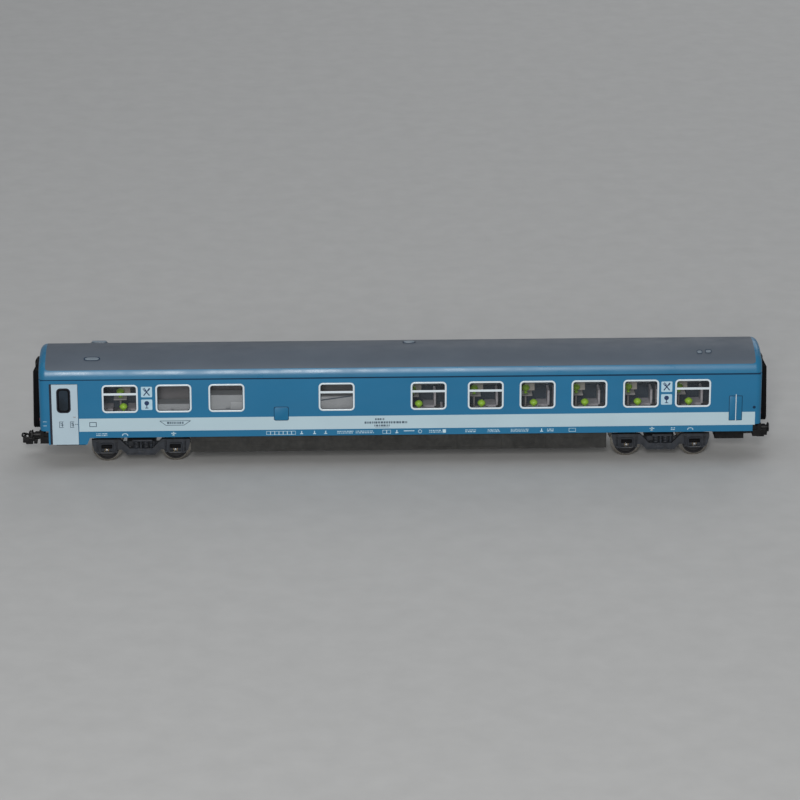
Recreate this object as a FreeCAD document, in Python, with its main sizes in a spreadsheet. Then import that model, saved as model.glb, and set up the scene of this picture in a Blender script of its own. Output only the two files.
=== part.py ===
import FreeCAD, Part
import math
import os
import re
import Sketcher

# Passenger coach for 12 mm gauge track, scale 1:120, as a parametric FreeCAD document.
#
# Millimetres.  z = 0 is the plane that the wheel flanges reach down to; +X runs along the coach
# towards its rear end, and the entrance doors are at the front end, -X.

doc = FreeCAD.newDocument("passenger_coach")
Vector = FreeCAD.Vector

DIMENSIONS = {
    # running gear
    "tread_radius": 3.83, "flange_height": 0.9, "axle_radius": 0.75, "journal_radius": 0.5,
    "journal_clearance": 0.06, "wheel_inner_y": 5.1, "wheel_width": 2.0, "flange_width": 0.5,
    "wheelbase": 20.83, "pivot_x": 79.17, "frame_half_length": 14.9,
    "frame_inner_y": 8.1, "frame_outer_y": 9.4, "frame_top_z": 8.2, "frame_bottom_z": 3.2,
    "slot_depth": 0.75, "transom_half_length": 4.4, "transom_low_z": 4.2, "transom_high_z": 6.6,
    "pivot_radius": 1.5, "pivot_clearance": 0.07, "pivot_head_radius": 2.4, "pivot_pad_radius": 3.2,
    # body
    "body_half_length": 109.5, "body_half_width": 11.75, "wall": 0.9, "plan_corner": 1.8,
    "body_bottom_z": 9.63, "skirt_bottom_z": 7.5, "end_bottom_z": 11.9, "end_notch_x": 106.9,
    "skirt_end_x": 95.3, "skirt_end_top_x": 94.46,
    "body_top_z": 28.0, "joint_gap": 0.2, "roof_top_z": 35.0, "roof_corner": 5.0,
    "ridge_radius": 20.5, "roof_wall": 0.9, "roof_end_rounding": 2.0,
    # windows
    "window_width": 10.92, "window_bottom_z": 17.53, "window_top_z": 26.48, "window_corner": 1.3,
    "frame_band": 0.55, "frame_depth": 0.25, "frame_proud": 0.1, "transom_z": 23.14,
    "transom_height": 0.7, "backing_depth": 0.4, "part_gap": 0.01,
    # doors
    "door_left_x": 105.7, "door_right_x": 97.85, "door_opening_left_x": 106.4,
    "door_opening_right_x": 97.75, "door_bottom_z": 7.55, "door_top_z": 26.75,
    "door_window_left_x": 104.26, "door_window_right_x": 99.96, "door_window_low_z": 17.65,
    "door_window_high_z": 25.58, "door_depth": 0.7, "gangway_half_width": 3.6,
    "gangway_top_z": 27.0,
    # gangway bellows
    "bellows_reach": 2.1, "bellows_half_width": 5.6, "bellows_low_z": 10.5, "bellows_high_z": 30.8,
    "bellows_rim": 1.5,
    # underframe
    "plate_low_z": 9.9, "plate_high_z": 11.0, "plate_half_length": 108.4, "plate_half_width": 10.8,
    "beam_inner_x": 107.0, "beam_low_z": 7.8, "beam_half_width": 11.3,
    "buffer_y": 7.3, "buffer_z": 9.4, "buffer_shank_radius": 0.9, "buffer_head_radius": 1.5,
    "buffer_reach": 3.0, "buffer_head_depth": 0.7,
    "skirt_panel_front_x": 64.0, "skirt_panel_rear_x": 62.5, "skirt_panel_low_z": 4.3,
    "skirt_panel_outer_y": 10.5, "skirt_panel_depth": 0.8, "box_front_x": 61.4, "box_rear_x": 60.4,
    "box_half_width": 9.6, "box_wall": 0.8,
    # close-coupling gear
    "swing_x": 98.6, "guide_inner_x": 96.3, "guide_outer_x": 105.2, "guide_half_width": 4.0,
    "guide_wall": 0.6, "guide_low_z": 4.6, "guide_cover": 0.6, "guide_high_z": 6.8,
    "swing_pin_radius": 0.8, "swing_clearance": 0.08, "drawbar_low_z": 5.3, "drawbar_high_z": 6.7,
    "drawbar_half_width": 1.45, "drawbar_ring_radius": 2.2, "drawbar_end_x": 107.8,
    "slot_inner_x": 101.2, "shank_half_width": 0.9, "shank_low_z": 5.6, "shank_high_z": 6.4,
    "shank_fit": 0.04, "coupler_travel": 2.8, "head_length": 5.0, "head_base_x": 108.3,
    # interior
    "floor_top_z": 11.7, "floor_half_width": 10.3, "seat_top_z": 13.3, "seat_depth": 4.0,
    "seat_back_top_z": 17.7, "seat_back_thick": 0.7, "seat_inner_y": 4.6, "seat_outer_y": 10.2,
    "table_top_z": 16.3, "table_thick": 0.35, "table_half_length": 2.0, "lamp_y": 7.0,
    "lamp_radius": 1.25, "lamp_height": 2.75, "partition_top_z": 26.9, "partition_thick": 0.6,
    "counter_top_z": 19.7, "far_table_shift": 1.6,
}

# Window centres along the coach; the flag says that the window has a tilting top light.
NEAR_WINDOWS = [(-85.08, True), (-68.9, False), (-52.89, False), (-19.6, True), (8.24, True),
                (25.55, True), (41.27, False), (56.99, False), (72.68, False), (88.46, True)]
FAR_WINDOWS = [(-85.08, True), (-68.9, False), (-52.89, False), (-36.2, False), (-19.6, True),
               (8.24, True), (25.55, True), (41.27, False), (56.99, False), (72.68, False),
               (88.46, True)]
TABLES = [(-84.3, 6.2), (5.4, 7.3), (24.5, 7.3), (40.4, 7.3), (56.0, 7.3), (72.1, 7.3), (87.7, 7.3)]
PARTITIONS = [-95.4, -77.6, -11.6, 96.0]

sheet = doc.addObject("Spreadsheet::Sheet", "dims")
for row, (alias, value) in enumerate(DIMENSIONS.items(), start=1):
    sheet.set(f"A{row}", alias)
    sheet.set(f"B{row}", str(value))
    sheet.setAlias(f"B{row}", alias)
doc.recompute()

WORDS = re.compile(r"\b(" + "|".join(sorted(DIMENSIONS, key=len, reverse=True)) + r")\b")
NODES = []


# ---- helpers: every length is an expression of the sheet's aliases ----
def bound(expression):
    """The expression with each alias written as a reference to the sheet."""
    return WORDS.sub(r"dims.\1", str(expression))


def value_of(expression):
    """The expression's present value in millimetres."""
    return float(sheet.evalExpression(bound(expression)))


def node(label, thing):
    """Names a finished sub-part, whose shape is written to its own file."""
    thing.Label = label
    NODES.append((label, thing))
    return thing


def place(thing, x=None, y=None, z=None):
    """Binds the position of an object to expressions of the sheet."""
    for axis, expression in (("x", x), ("y", y), ("z", z)):
        if expression is not None:
            thing.setExpression(f"Placement.Base.{axis}", bound(expression))
    return thing


def box(x, y, z):
    """A box from the low to the high expression of each axis."""
    made = doc.addObject("Part::Box", "box")
    place(made, x[0], y[0], z[0])
    for name, (low, high) in (("Length", x), ("Width", y), ("Height", z)):
        made.setExpression(name, bound(f"({high}) - ({low})"))
    return made


def cylinder(radius, length, x="0", y="0", z="0", along="z"):
    """A cylinder whose start is at x, y, z and which runs towards + on its axis."""
    made = doc.addObject("Part::Cylinder", "cylinder")
    turn = {"z": (0, 0, 0), "x": (0, 90, 0), "y": (0, 0, -90)}[along]
    made.Placement = FreeCAD.Placement(Vector(), FreeCAD.Rotation(*turn))
    made.setExpression("Radius", bound(radius))
    made.setExpression("Height", bound(length))
    return place(made, x, y, z)


def cone(radius_start, radius_end, length, x="0", y="0", z="0"):
    """An upright cone that stands at x, y, z."""
    made = doc.addObject("Part::Cone", "cone")
    made.setExpression("Radius1", bound(radius_start))
    made.setExpression("Radius2", bound(radius_end))
    made.setExpression("Height", bound(length))
    return place(made, x, y, z)


def cut(base, *tools):
    """base with each tool taken away."""
    for tool in tools:
        made = doc.addObject("Part::Cut", "cut")
        made.Base = base
        made.Tool = tool
        base = made
    return base


def fuse(*things):
    """One solid from several that touch."""
    made = doc.addObject("Part::MultiFuse", "fuse")
    made.Shapes = list(things)
    made.Refine = True
    return made


def group(*things):
    """Separate solids kept as one sub-part."""
    made = doc.addObject("Part::Compound", "group")
    made.Links = list(things)
    return made


def body(name):
    """A new PartDesign body."""
    return doc.addObject("PartDesign::Body", name)


def sketch(owner, role, offset="0"):
    """An empty sketch on one of the body's own origin planes, moved along the plane's normal."""
    made = owner.newObject("Sketcher::SketchObject", "sketch")
    plane = next(f for f in owner.Origin.OriginFeatures if f.Role == role)
    made.AttachmentSupport = (plane, "")
    made.MapMode = "FlatFace"
    made.setExpression("AttachmentOffset.Base.z", bound(offset))
    return made


def outline(target, points):
    """A closed outline of straight sides whose corners are bound to pairs of expressions."""
    corners = [Vector(value_of(a), value_of(b), 0) for a, b in points]
    first = target.GeometryCount
    for start, end in zip(corners, corners[1:] + corners[:1]):
        target.addGeometry(Part.LineSegment(start, end))
    for step in range(len(points)):
        following = (step + 1) % len(points)
        target.addConstraint(Sketcher.Constraint("Coincident", first + step, 2, first + following, 1))
    for step, pair in enumerate(points):
        for kind, expression in zip(("DistanceX", "DistanceY"), pair):
            place_value = value_of(expression)
            index = target.addConstraint(
                Sketcher.Constraint(kind, -1, 1, first + step, 1, place_value))
            target.setExpression(f"Constraints[{index}]", bound(expression))
    return target


def rounded(target, low, high, radius):
    """A rectangle from low to high, given as pairs of expressions, with round corners."""
    (x0, y0), (x1, y1) = [(value_of(a), value_of(b)) for a, b in (low, high)]
    r = value_of(radius)
    first = target.GeometryCount
    sides = [((x0 + r, y0), (x1 - r, y0)), ((x1, y0 + r), (x1, y1 - r)),
             ((x1 - r, y1), (x0 + r, y1)), ((x0, y1 - r), (x0, y0 + r))]
    centres = [(x1 - r, y0 + r), (x1 - r, y1 - r), (x0 + r, y1 - r), (x0 + r, y0 + r)]
    for start, end in sides:
        target.addGeometry(Part.LineSegment(Vector(*start, 0), Vector(*end, 0)))
    for quarter, centre in enumerate(centres):
        circle = Part.Circle(Vector(*centre, 0), Vector(0, 0, 1), r)
        begin = (quarter - 1) * math.pi / 2
        target.addGeometry(Part.ArcOfCircle(circle, begin, begin + math.pi / 2))
    for quarter in range(4):
        arc = first + 4 + quarter
        target.addConstraint(Sketcher.Constraint("Tangent", first + quarter, 2, arc, 1))
        target.addConstraint(Sketcher.Constraint("Tangent", arc, 2, first + (quarter + 1) % 4, 1))
        if quarter:
            target.addConstraint(Sketcher.Constraint("Equal", first + 4, arc))
    target.addConstraint(Sketcher.Constraint("Horizontal", first))
    target.addConstraint(Sketcher.Constraint("Vertical", first + 1))
    target.addConstraint(Sketcher.Constraint("Horizontal", first + 2))
    target.addConstraint(Sketcher.Constraint("Vertical", first + 3))
    ties = [("DistanceY", first, y0, low[1]), ("DistanceX", first + 1, x1, high[0]),
            ("DistanceY", first + 2, y1, high[1]), ("DistanceX", first + 3, x0, low[0])]
    for kind, side, now, expression in ties:
        index = target.addConstraint(Sketcher.Constraint(kind, -1, 1, side, 1, now))
        target.setExpression(f"Constraints[{index}]", bound(expression))
    index = target.addConstraint(Sketcher.Constraint("Radius", first + 4, r))
    target.setExpression(f"Constraints[{index}]", bound(radius))
    return target


def pad(owner, profile, length, midplane=False, backward=False):
    """Adds the sketch's area, pulled along its normal."""
    made = owner.newObject("PartDesign::Pad", "pad")
    made.Profile = profile
    made.Midplane = midplane
    made.Reversed = backward
    made.setExpression("Length", bound(length))
    return made


def pocket(owner, profile, length, midplane=False, backward=False):
    """Takes the sketch's area away; the cut runs against the normal unless it is backward."""
    doc.recompute()
    before = owner.Shape.Volume
    made = owner.newObject("PartDesign::Pocket", "pocket")
    made.Profile = profile
    made.Midplane = midplane
    made.Reversed = backward
    made.setExpression("Length", bound(length))
    doc.recompute()
    if owner.Shape.Volume >= before - 1e-6:
        raise RuntimeError(f"a pocket of {owner.Label} removes nothing")
    return made


def revolve(owner, profile, axis):
    """A full turn of the sketch about its own H_Axis or V_Axis."""
    made = owner.newObject("PartDesign::Revolution", "revolution")
    made.Profile = profile
    made.ReferenceAxis = (profile, [axis])
    made.Angle = 360
    return made


# ---- body shell ----
def window_edges(centre):
    """Low and high corner of a window opening, as expressions in x and z."""
    return ((f"{centre} - window_width / 2", "window_bottom_z"),
            (f"{centre} + window_width / 2", "window_top_z"))


def side_offset(side, distance):
    """Offset of an XZ sketch that puts it at distance from the middle on the -Y or +Y side."""
    return f"{-side} * ({distance})"


def body_shell():
    """Sides and ends in one moulding, open below and above."""
    shell = body("body_shell")
    plan = rounded(sketch(shell, "XY_Plane", "skirt_bottom_z"),
                   ("-body_half_length", "-body_half_width"),
                   ("body_half_length", "body_half_width"), "plan_corner")
    pad(shell, plan, "body_top_z - skirt_bottom_z")
    below = outline(sketch(shell, "XZ_Plane"), [
        ("-body_half_length - 1", "skirt_bottom_z - 1"), ("-end_notch_x", "skirt_bottom_z - 1"),
        ("-end_notch_x", "end_bottom_z"), ("-body_half_length - 1", "end_bottom_z")])
    pocket(shell, below, "4 * body_half_width", midplane=True)
    low_line = outline(sketch(shell, "XZ_Plane"), [
        ("-skirt_end_x", "skirt_bottom_z - 1"), ("-skirt_end_x", "skirt_bottom_z"),
        ("-skirt_end_top_x", "body_bottom_z"), ("end_notch_x", "body_bottom_z"),
        ("end_notch_x", "end_bottom_z"), ("body_half_length + 1", "end_bottom_z"),
        ("body_half_length + 1", "skirt_bottom_z - 1")])
    pocket(shell, low_line, "4 * body_half_width", midplane=True)
    inside = rounded(sketch(shell, "XY_Plane", "skirt_bottom_z - 1"),
                     ("wall - body_half_length", "wall - body_half_width"),
                     ("body_half_length - wall", "body_half_width - wall"), "plan_corner / 2")
    pocket(shell, inside, "30", backward=True)
    for side, windows in ((-1, NEAR_WINDOWS), (1, FAR_WINDOWS)):
        for centre, _ in windows:
            low, high = window_edges(centre)
            opening = sketch(shell, "XZ_Plane", side_offset(side, "body_half_width - wall / 2"))
            rounded(opening, low, high, "window_corner")
            pocket(shell, opening, "2 * wall", midplane=True)
        entrance = outline(
            sketch(shell, "XZ_Plane", side_offset(side, "body_half_width - wall / 2")), [
                ("-door_opening_left_x", "skirt_bottom_z - 1"),
                ("-door_opening_right_x", "skirt_bottom_z - 1"),
                ("-door_opening_right_x", "door_top_z + 0.15"),
                ("-door_opening_left_x", "door_top_z + 0.15")])
        pocket(shell, entrance, "2 * wall", midplane=True)
    gangway = outline(sketch(shell, "YZ_Plane"), [
        ("-gangway_half_width", "end_bottom_z - 1"), ("gangway_half_width", "end_bottom_z - 1"),
        ("gangway_half_width", "gangway_top_z"), ("-gangway_half_width", "gangway_top_z")])
    pocket(shell, gangway, "4 * body_half_length", midplane=True)
    return node("body_shell", shell)


# ---- roof ----
def roof_section(target, inset):
    """Cross-section of the roof: shoulder arcs and a ridge arc, closed by a flat foot."""
    half = value_of("body_half_width") - inset
    foot = value_of("body_top_z + joint_gap") - inset
    shoulder = value_of("roof_corner") - inset
    ridge = value_of("ridge_radius") - inset
    top = value_of("roof_top_z") - inset
    centre_y = half - shoulder
    reach = math.sqrt((ridge - shoulder) ** 2 - centre_y ** 2)
    centre_z = top - ridge + reach
    meet_y = centre_y * ridge / (ridge - shoulder)
    meet_z = top - ridge + reach * ridge / (ridge - shoulder)
    start_z = max(foot, centre_z)
    start_y = centre_y + math.sqrt(shoulder ** 2 - (start_z - centre_z) ** 2)
    lean = math.sqrt(0.5)
    middle_y = centre_y + shoulder * lean
    middle_z = centre_z + shoulder * lean
    edges = [Part.LineSegment(Vector(-start_y, foot, 0), Vector(start_y, foot, 0)),
             Part.Arc(Vector(start_y, start_z, 0), Vector(middle_y, middle_z, 0),
                      Vector(meet_y, meet_z, 0)),
             Part.Arc(Vector(meet_y, meet_z, 0), Vector(0, top, 0), Vector(-meet_y, meet_z, 0)),
             Part.Arc(Vector(-meet_y, meet_z, 0), Vector(-middle_y, middle_z, 0),
                      Vector(-start_y, start_z, 0))]
    if start_z > foot:
        for y in (-start_y, start_y):
            edges.append(Part.LineSegment(Vector(y, foot, 0), Vector(y, start_z, 0)))
    for edge in edges:
        target.addGeometry(edge)
    return target


def roof():
    """Roof moulding: rounded ends, hollow, with a lip that drops inside the body's walls."""
    top = body("roof")
    blank = pad(top, roof_section(sketch(top, "YZ_Plane"), 0.0), "2 * body_half_length",
                midplane=True)
    doc.recompute()
    end_x = value_of("body_half_length")
    foot = value_of("body_top_z + joint_gap")
    rims = []
    for number, edge in enumerate(top.Shape.Edges, start=1):
        limits = edge.BoundBox
        at_end = abs(abs(limits.XMin) - end_x) < 1e-4 and limits.XLength < 1e-4
        if at_end and limits.ZMax > foot + 1e-3:
            rims.append(f"Edge{number}")
    rounding = top.newObject("PartDesign::Fillet", "rounding")
    rounding.Base = (blank, rims)
    rounding.setExpression("Radius", bound("roof_end_rounding"))
    doc.recompute()
    hollow = roof_section(sketch(top, "YZ_Plane"), value_of("roof_wall"))
    pocket(top, hollow, "2 * (body_half_length - roof_wall - 1)", midplane=True)
    lip = sketch(top, "XY_Plane", "body_top_z + joint_gap + 0.4")
    rounded(lip, ("wall + 0.1 - body_half_length", "wall + 0.1 - body_half_width"),
            ("body_half_length - wall - 0.1", "body_half_width - wall - 0.1"), "plan_corner / 2")
    rounded(lip, ("wall + 0.8 - body_half_length", "wall + 0.8 - body_half_width"),
            ("body_half_length - wall - 0.8", "body_half_width - wall - 0.8"), "plan_corner / 2")
    pad(top, lip, "joint_gap + 1.1", backward=True)
    return node("roof", top)


def roof_height(y):
    """Height of the roof's outer face on its ridge arc, at distance y from the middle."""
    radius = value_of("ridge_radius")
    return value_of("roof_top_z") - radius + math.sqrt(radius ** 2 - y ** 2)


def roof_vents():
    """Low ventilator hoods that stand on the roof."""
    hoods = []
    for x, y, length, width, height in ((-93.4, -7.6, 5.3, 1.6, 0.5), (-91.8, 5.9, 4.9, 1.6, 0.5),
                                        (2.7, 0.7, 4.0, 1.5, 0.5), (93.3, -7.0, 2.7, 1.5, 0.45),
                                        (90.6, -7.2, 1.9, 1.3, 0.4)):
        hood = doc.addObject("Part::Wedge", "hood")
        hood.Xmin, hood.Xmax, hood.X2min, hood.X2max = 0, length, 0.7, length - 0.7
        hood.Zmin, hood.Zmax, hood.Z2min, hood.Z2max = 0, width, 0.3, width - 0.3
        hood.Ymin, hood.Ymax = 0, height + 0.3
        if length < 2:
            hood.X2min, hood.X2max = 0.3, length - 0.3
        tilt = math.degrees(math.asin(y / value_of("ridge_radius")))
        hood.Placement = FreeCAD.Placement(
            Vector(x - length / 2, y + width / 2, roof_height(y) - 0.3),
            FreeCAD.Rotation(0, 0, 90 - tilt))
        hoods.append(hood)
    cover = doc.getObject("roof")
    return node("roof_vents", cut(group(*hoods), solid_copy(cover)))


def solid_copy(source):
    """A plain copy of a body's shape, for use as a tool in a boolean."""
    doc.recompute()
    made = doc.addObject("Part::Feature", "tool")
    made.Shape = Part.Solid(source.Shape.Solids[0])
    return made


# ---- windows ----
def windows(side, layout):
    """White frames and the clear insert behind them on one side."""
    name = "near" if side < 0 else "far"
    face = "body_half_width + frame_proud"
    rings = body(f"window_frames_{name}")
    for centre, _ in layout:
        (x0, z0), (x1, z1) = window_edges(centre)
        front = sketch(rings, "XZ_Plane", side_offset(side, face))
        rounded(front, (f"{x0} + part_gap", f"{z0} + part_gap"), (f"{x1} - part_gap", f"{z1} - part_gap"),
                "window_corner")
        rounded(front, (f"{x0} + frame_band", f"{z0} + frame_band"),
                (f"{x1} - frame_band", f"{z1} - frame_band"), "window_corner - frame_band")
        rings.AllowCompound = True
        pad(rings, front, "frame_depth", backward=side < 0)
    for centre, has_transom in layout:
        if has_transom:
            (x0, _), (x1, _) = window_edges(centre)
            bar = sketch(rings, "XZ_Plane", side_offset(side, face))
            outline(bar, [(f"{x0} + frame_band / 2", "transom_z"),
                          (f"{x1} - frame_band / 2", "transom_z"),
                          (f"{x1} - frame_band / 2", "transom_z + transom_height"),
                          (f"{x0} + frame_band / 2", "transom_z + transom_height")])
            pad(rings, bar, "frame_depth", backward=side < 0)
    node(f"window_frames_{name}", rings)
    insert = body(f"glazing_{name}")
    strip = sketch(insert, "XZ_Plane", side_offset(side, "body_half_width - wall - 0.02"))
    outline(strip, [("-93", "window_bottom_z - 0.8"), ("94.6", "window_bottom_z - 0.8"),
                    ("94.6", "window_top_z + 0.4"), ("-93", "window_top_z + 0.4")])
    pad(insert, strip, "backing_depth", backward=side < 0)
    for centre, _ in layout:
        (x0, z0), (x1, z1) = window_edges(centre)
        pane = sketch(insert, "XZ_Plane", side_offset(side, "body_half_width - wall - 0.04"))
        rounded(pane, (f"{x0} + part_gap", f"{z0} + part_gap"), (f"{x1} - part_gap", f"{z1} - part_gap"),
                "window_corner")
        pad(insert, pane, "wall + 0.04 + frame_proud - frame_depth", backward=side > 0)
    node(f"glazing_{name}", insert)


# ---- doors ----
def doors():
    """Two entrance doors with their panes and rubber seals, and a gangway door at each end."""
    leaves, panes, seals, handles = [], [], [], []
    for side in (-1, 1):
        name = "near" if side < 0 else "far"
        leaf = body(f"leaf_{name}")
        front = side_offset(side, "body_half_width")
        face = outline(sketch(leaf, "XZ_Plane", front), [
            ("-door_left_x", "door_bottom_z"), ("-door_right_x", "door_bottom_z"),
            ("-door_right_x", "door_top_z"), ("-door_left_x", "door_top_z")])
        rounded(face, ("-door_window_left_x", "door_window_low_z"),
                ("-door_window_right_x", "door_window_high_z"), "window_corner")
        pad(leaf, face, "door_depth", backward=side < 0)
        leaves.append(leaf)
        pane = body(f"pane_{name}")
        glass = rounded(sketch(pane, "XZ_Plane", side_offset(side, "body_half_width - 0.2")),
                        ("-door_window_left_x + 0.32", "door_window_low_z + 0.32"),
                        ("-door_window_right_x - 0.32", "door_window_high_z - 0.32"),
                        "window_corner - 0.32")
        pad(pane, glass, "0.4", backward=side < 0)
        panes.append(pane)
        seal = body(f"seal_{name}")
        ring = rounded(sketch(seal, "XZ_Plane", side_offset(side, "body_half_width - 0.05")),
                       ("-door_window_left_x + 0.01", "door_window_low_z + 0.01"),
                       ("-door_window_right_x - 0.01", "door_window_high_z - 0.01"),
                       "window_corner - 0.01")
        rounded(ring, ("-door_window_left_x + 0.31", "door_window_low_z + 0.31"),
                ("-door_window_right_x - 0.31", "door_window_high_z - 0.31"),
                "window_corner - 0.31")
        pad(seal, ring, "door_depth - 0.1", backward=side < 0)
        seals.append(seal)
        inner, outer = "body_half_width - wall", "body_half_width - 0.25"
        span = (inner, outer) if side > 0 else (f"-({outer})", f"-({inner})")
        seals.append(box(("-door_opening_left_x + 0.02", "-door_left_x - 0.02"), span,
                         ("door_bottom_z", "door_top_z + 0.1")))
        grip = ("body_half_width + 0.02", "body_half_width + 0.1")
        grip = grip if side > 0 else (f"-({grip[1]})", f"-({grip[0]})")
        handles.append(box(("-door_right_x - 1.5", "-door_right_x - 0.7"), grip, ("16.2", "16.5")))
    node("entrance_doors", group(*leaves))
    node("door_panes", group(*panes))
    node("door_seals", group(*seals))
    node("door_handles", group(*handles))
    ends = []
    for end in (-1, 1):
        near, far = "body_half_length - wall + 0.02", "body_half_length - 0.2"
        span = (near, far) if end > 0 else (f"-({far})", f"-({near})")
        panel = box(span, ("0.03 - gangway_half_width", "gangway_half_width - 0.03"),
                    ("end_bottom_z + 0.02", "gangway_top_z - 0.03"))
        light = box(span, ("-1.6", "1.6"), ("19.5", "25.2"))
        ends.append(cut(panel, light))
    node("gangway_doors", group(*ends))


def bellows(name, end):
    """Rubber gangway ring: a hooped tube round the end door, slanted back at its top."""
    ring = body(f"{name}_bellows")
    start = "body_half_length + 0.03"
    face = rounded(sketch(ring, "YZ_Plane", f"{end} * ({start})"),
                   ("-bellows_half_width", "bellows_low_z"),
                   ("bellows_half_width", "bellows_high_z"), "1.6")
    rounded(face, ("bellows_rim - bellows_half_width", "bellows_low_z + bellows_rim"),
            ("bellows_half_width - bellows_rim", "bellows_high_z - bellows_rim"), "0.6")
    pad(ring, face, "bellows_reach", backward=end < 0)
    reach = "body_half_length + bellows_reach"
    slant = outline(sketch(ring, "XZ_Plane"), [
        (f"{end} * ({reach} + 1)", "bellows_high_z - 2.6"),
        (f"{end} * ({reach} + 1)", "bellows_high_z + 1"),
        (f"{end} * ({reach} - 1.3)", "bellows_high_z + 1"),
        (f"{end} * ({reach} - 1.1)", "bellows_high_z - 0.3"),
        (f"{end} * ({reach})", "bellows_high_z - 2.2")])
    pocket(ring, slant, "3 * bellows_half_width", midplane=True)
    node(f"{name}_bellows", ring)


# ---- underframe ----
def underframe():
    """Floor plate with a bearing pad over each bogie."""
    plate = box(("-plate_half_length", "plate_half_length"),
                ("-plate_half_width", "plate_half_width"), ("plate_low_z", "plate_high_z"))
    parts = [plate]
    for end in (-1, 1):
        parts.append(cylinder("pivot_pad_radius", "plate_low_z - frame_top_z - 0.06 + 0.2",
                              f"{end} * pivot_x", "0", "frame_top_z + 0.06"))
        parts.append(box((f"{end} * pivot_x - 1.2", f"{end} * pivot_x + 1.2"), ("-9.5", "9.5"),
                         ("frame_top_z + 0.6", "plate_low_z + 0.1")))
    holes = [cylinder("pivot_radius + 0.02", "6", f"{end} * pivot_x", "0", "7") for end in (-1, 1)]
    node("underframe", cut(fuse(*parts), *holes))
    pins = []
    for end in (-1, 1):
        pins.append(fuse(cylinder("pivot_radius", "plate_high_z - transom_low_z", f"{end} * pivot_x",
                                  "0", "transom_low_z"),
                         cylinder("pivot_head_radius", "0.9", f"{end} * pivot_x", "0",
                                  "transom_low_z - 0.97")))
        pins[-1].Shapes = pins[-1].Shapes + [cylinder("pivot_radius", "0.3", f"{end} * pivot_x", "0",
                                                      "transom_low_z - 0.2")]
    node("pivot_pins", group(*pins))


def beams_and_buffers():
    """A black headstock and a pair of buffers at each end."""
    beams = []
    for end, name in ((-1, "front"), (1, "rear")):
        def along(low, high):
            """The pair of x expressions from low to high, measured outwards at this end."""
            return (low, high) if end > 0 else (f"-({high})", f"-({low})")
        beams.append(box(along("beam_inner_x", "body_half_length"),
                         ("-beam_half_width", "beam_half_width"),
                         ("beam_low_z", "plate_low_z - 0.02")))
        beams.append(box(along("plate_half_length + 0.02", "body_half_length"),
                         ("-beam_half_width", "beam_half_width"),
                         ("plate_low_z - 0.02", "end_bottom_z - 0.02")))
        pair = []
        for y in ("-buffer_y", "buffer_y"):
            tip = "body_half_length + buffer_reach"
            shank_start = "body_half_length + 0.01" if end > 0 else f"-({tip} - buffer_head_depth)"
            head_start = f"{tip} - buffer_head_depth" if end > 0 else f"-({tip})"
            shank = cylinder("buffer_shank_radius", "buffer_reach - buffer_head_depth - 0.01",
                             shank_start, y, "buffer_z", "x")
            head = cylinder("buffer_head_radius", "buffer_head_depth", head_start, y, "buffer_z", "x")
            flange_start = "body_half_length + 0.01" if end > 0 else "-(body_half_length + 0.51)"
            flange = cylinder("buffer_head_radius - 0.1", "0.5", flange_start, y, "buffer_z", "x")
            pair.append(fuse(shank, head, flange))
        node(f"{name}_buffers", group(*pair))
    merged = [fuse(*beams[0:2]), fuse(*beams[2:4])]
    node("buffer_beams", group(*merged))


def underfloor():
    """Side fairings between the bogies, and the equipment box with its ballast bar."""
    fairings = []
    for side in (-1, 1):
        inner, outer = "skirt_panel_outer_y - skirt_panel_depth", "skirt_panel_outer_y"
        span = (inner, outer) if side > 0 else (f"-({outer})", f"-({inner})")
        panel = box(("-skirt_panel_front_x", "skirt_panel_rear_x"), span,
                    ("skirt_panel_low_z", "plate_low_z - 0.01"))
        groove_span = ("skirt_panel_outer_y - 0.15", "skirt_panel_outer_y + 1")
        groove_span = groove_span if side > 0 else (f"-({groove_span[1]})", f"-({groove_span[0]})")
        gaps = [box((f"{x} - 0.12", f"{x} + 0.12"), groove_span,
                    ("skirt_panel_low_z - 1", "plate_low_z + 1"))
                for x in (-50.5, -37, -23.5, -10, 3.5, 17, 30.5, 44)]
        fairings.append(cut(panel, *gaps))
    node("underfloor_fairings", group(*fairings))
    outer = box(("-box_front_x", "box_rear_x"), ("-box_half_width", "box_half_width"),
                ("skirt_panel_low_z + 0.2", "plate_low_z - 0.01"))
    inner = box(("box_wall - box_front_x", "box_rear_x - box_wall"),
                ("box_wall - box_half_width", "box_half_width - box_wall"),
                ("skirt_panel_low_z + 0.2 + box_wall", "plate_low_z + 1"))
    node("equipment_box", cut(outer, inner))
    node("ballast_bar", box(("-52", "52"), ("-6.5", "6.5"),
                            ("skirt_panel_low_z + 0.2 + box_wall + 0.01", "plate_low_z - 0.5")))


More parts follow.
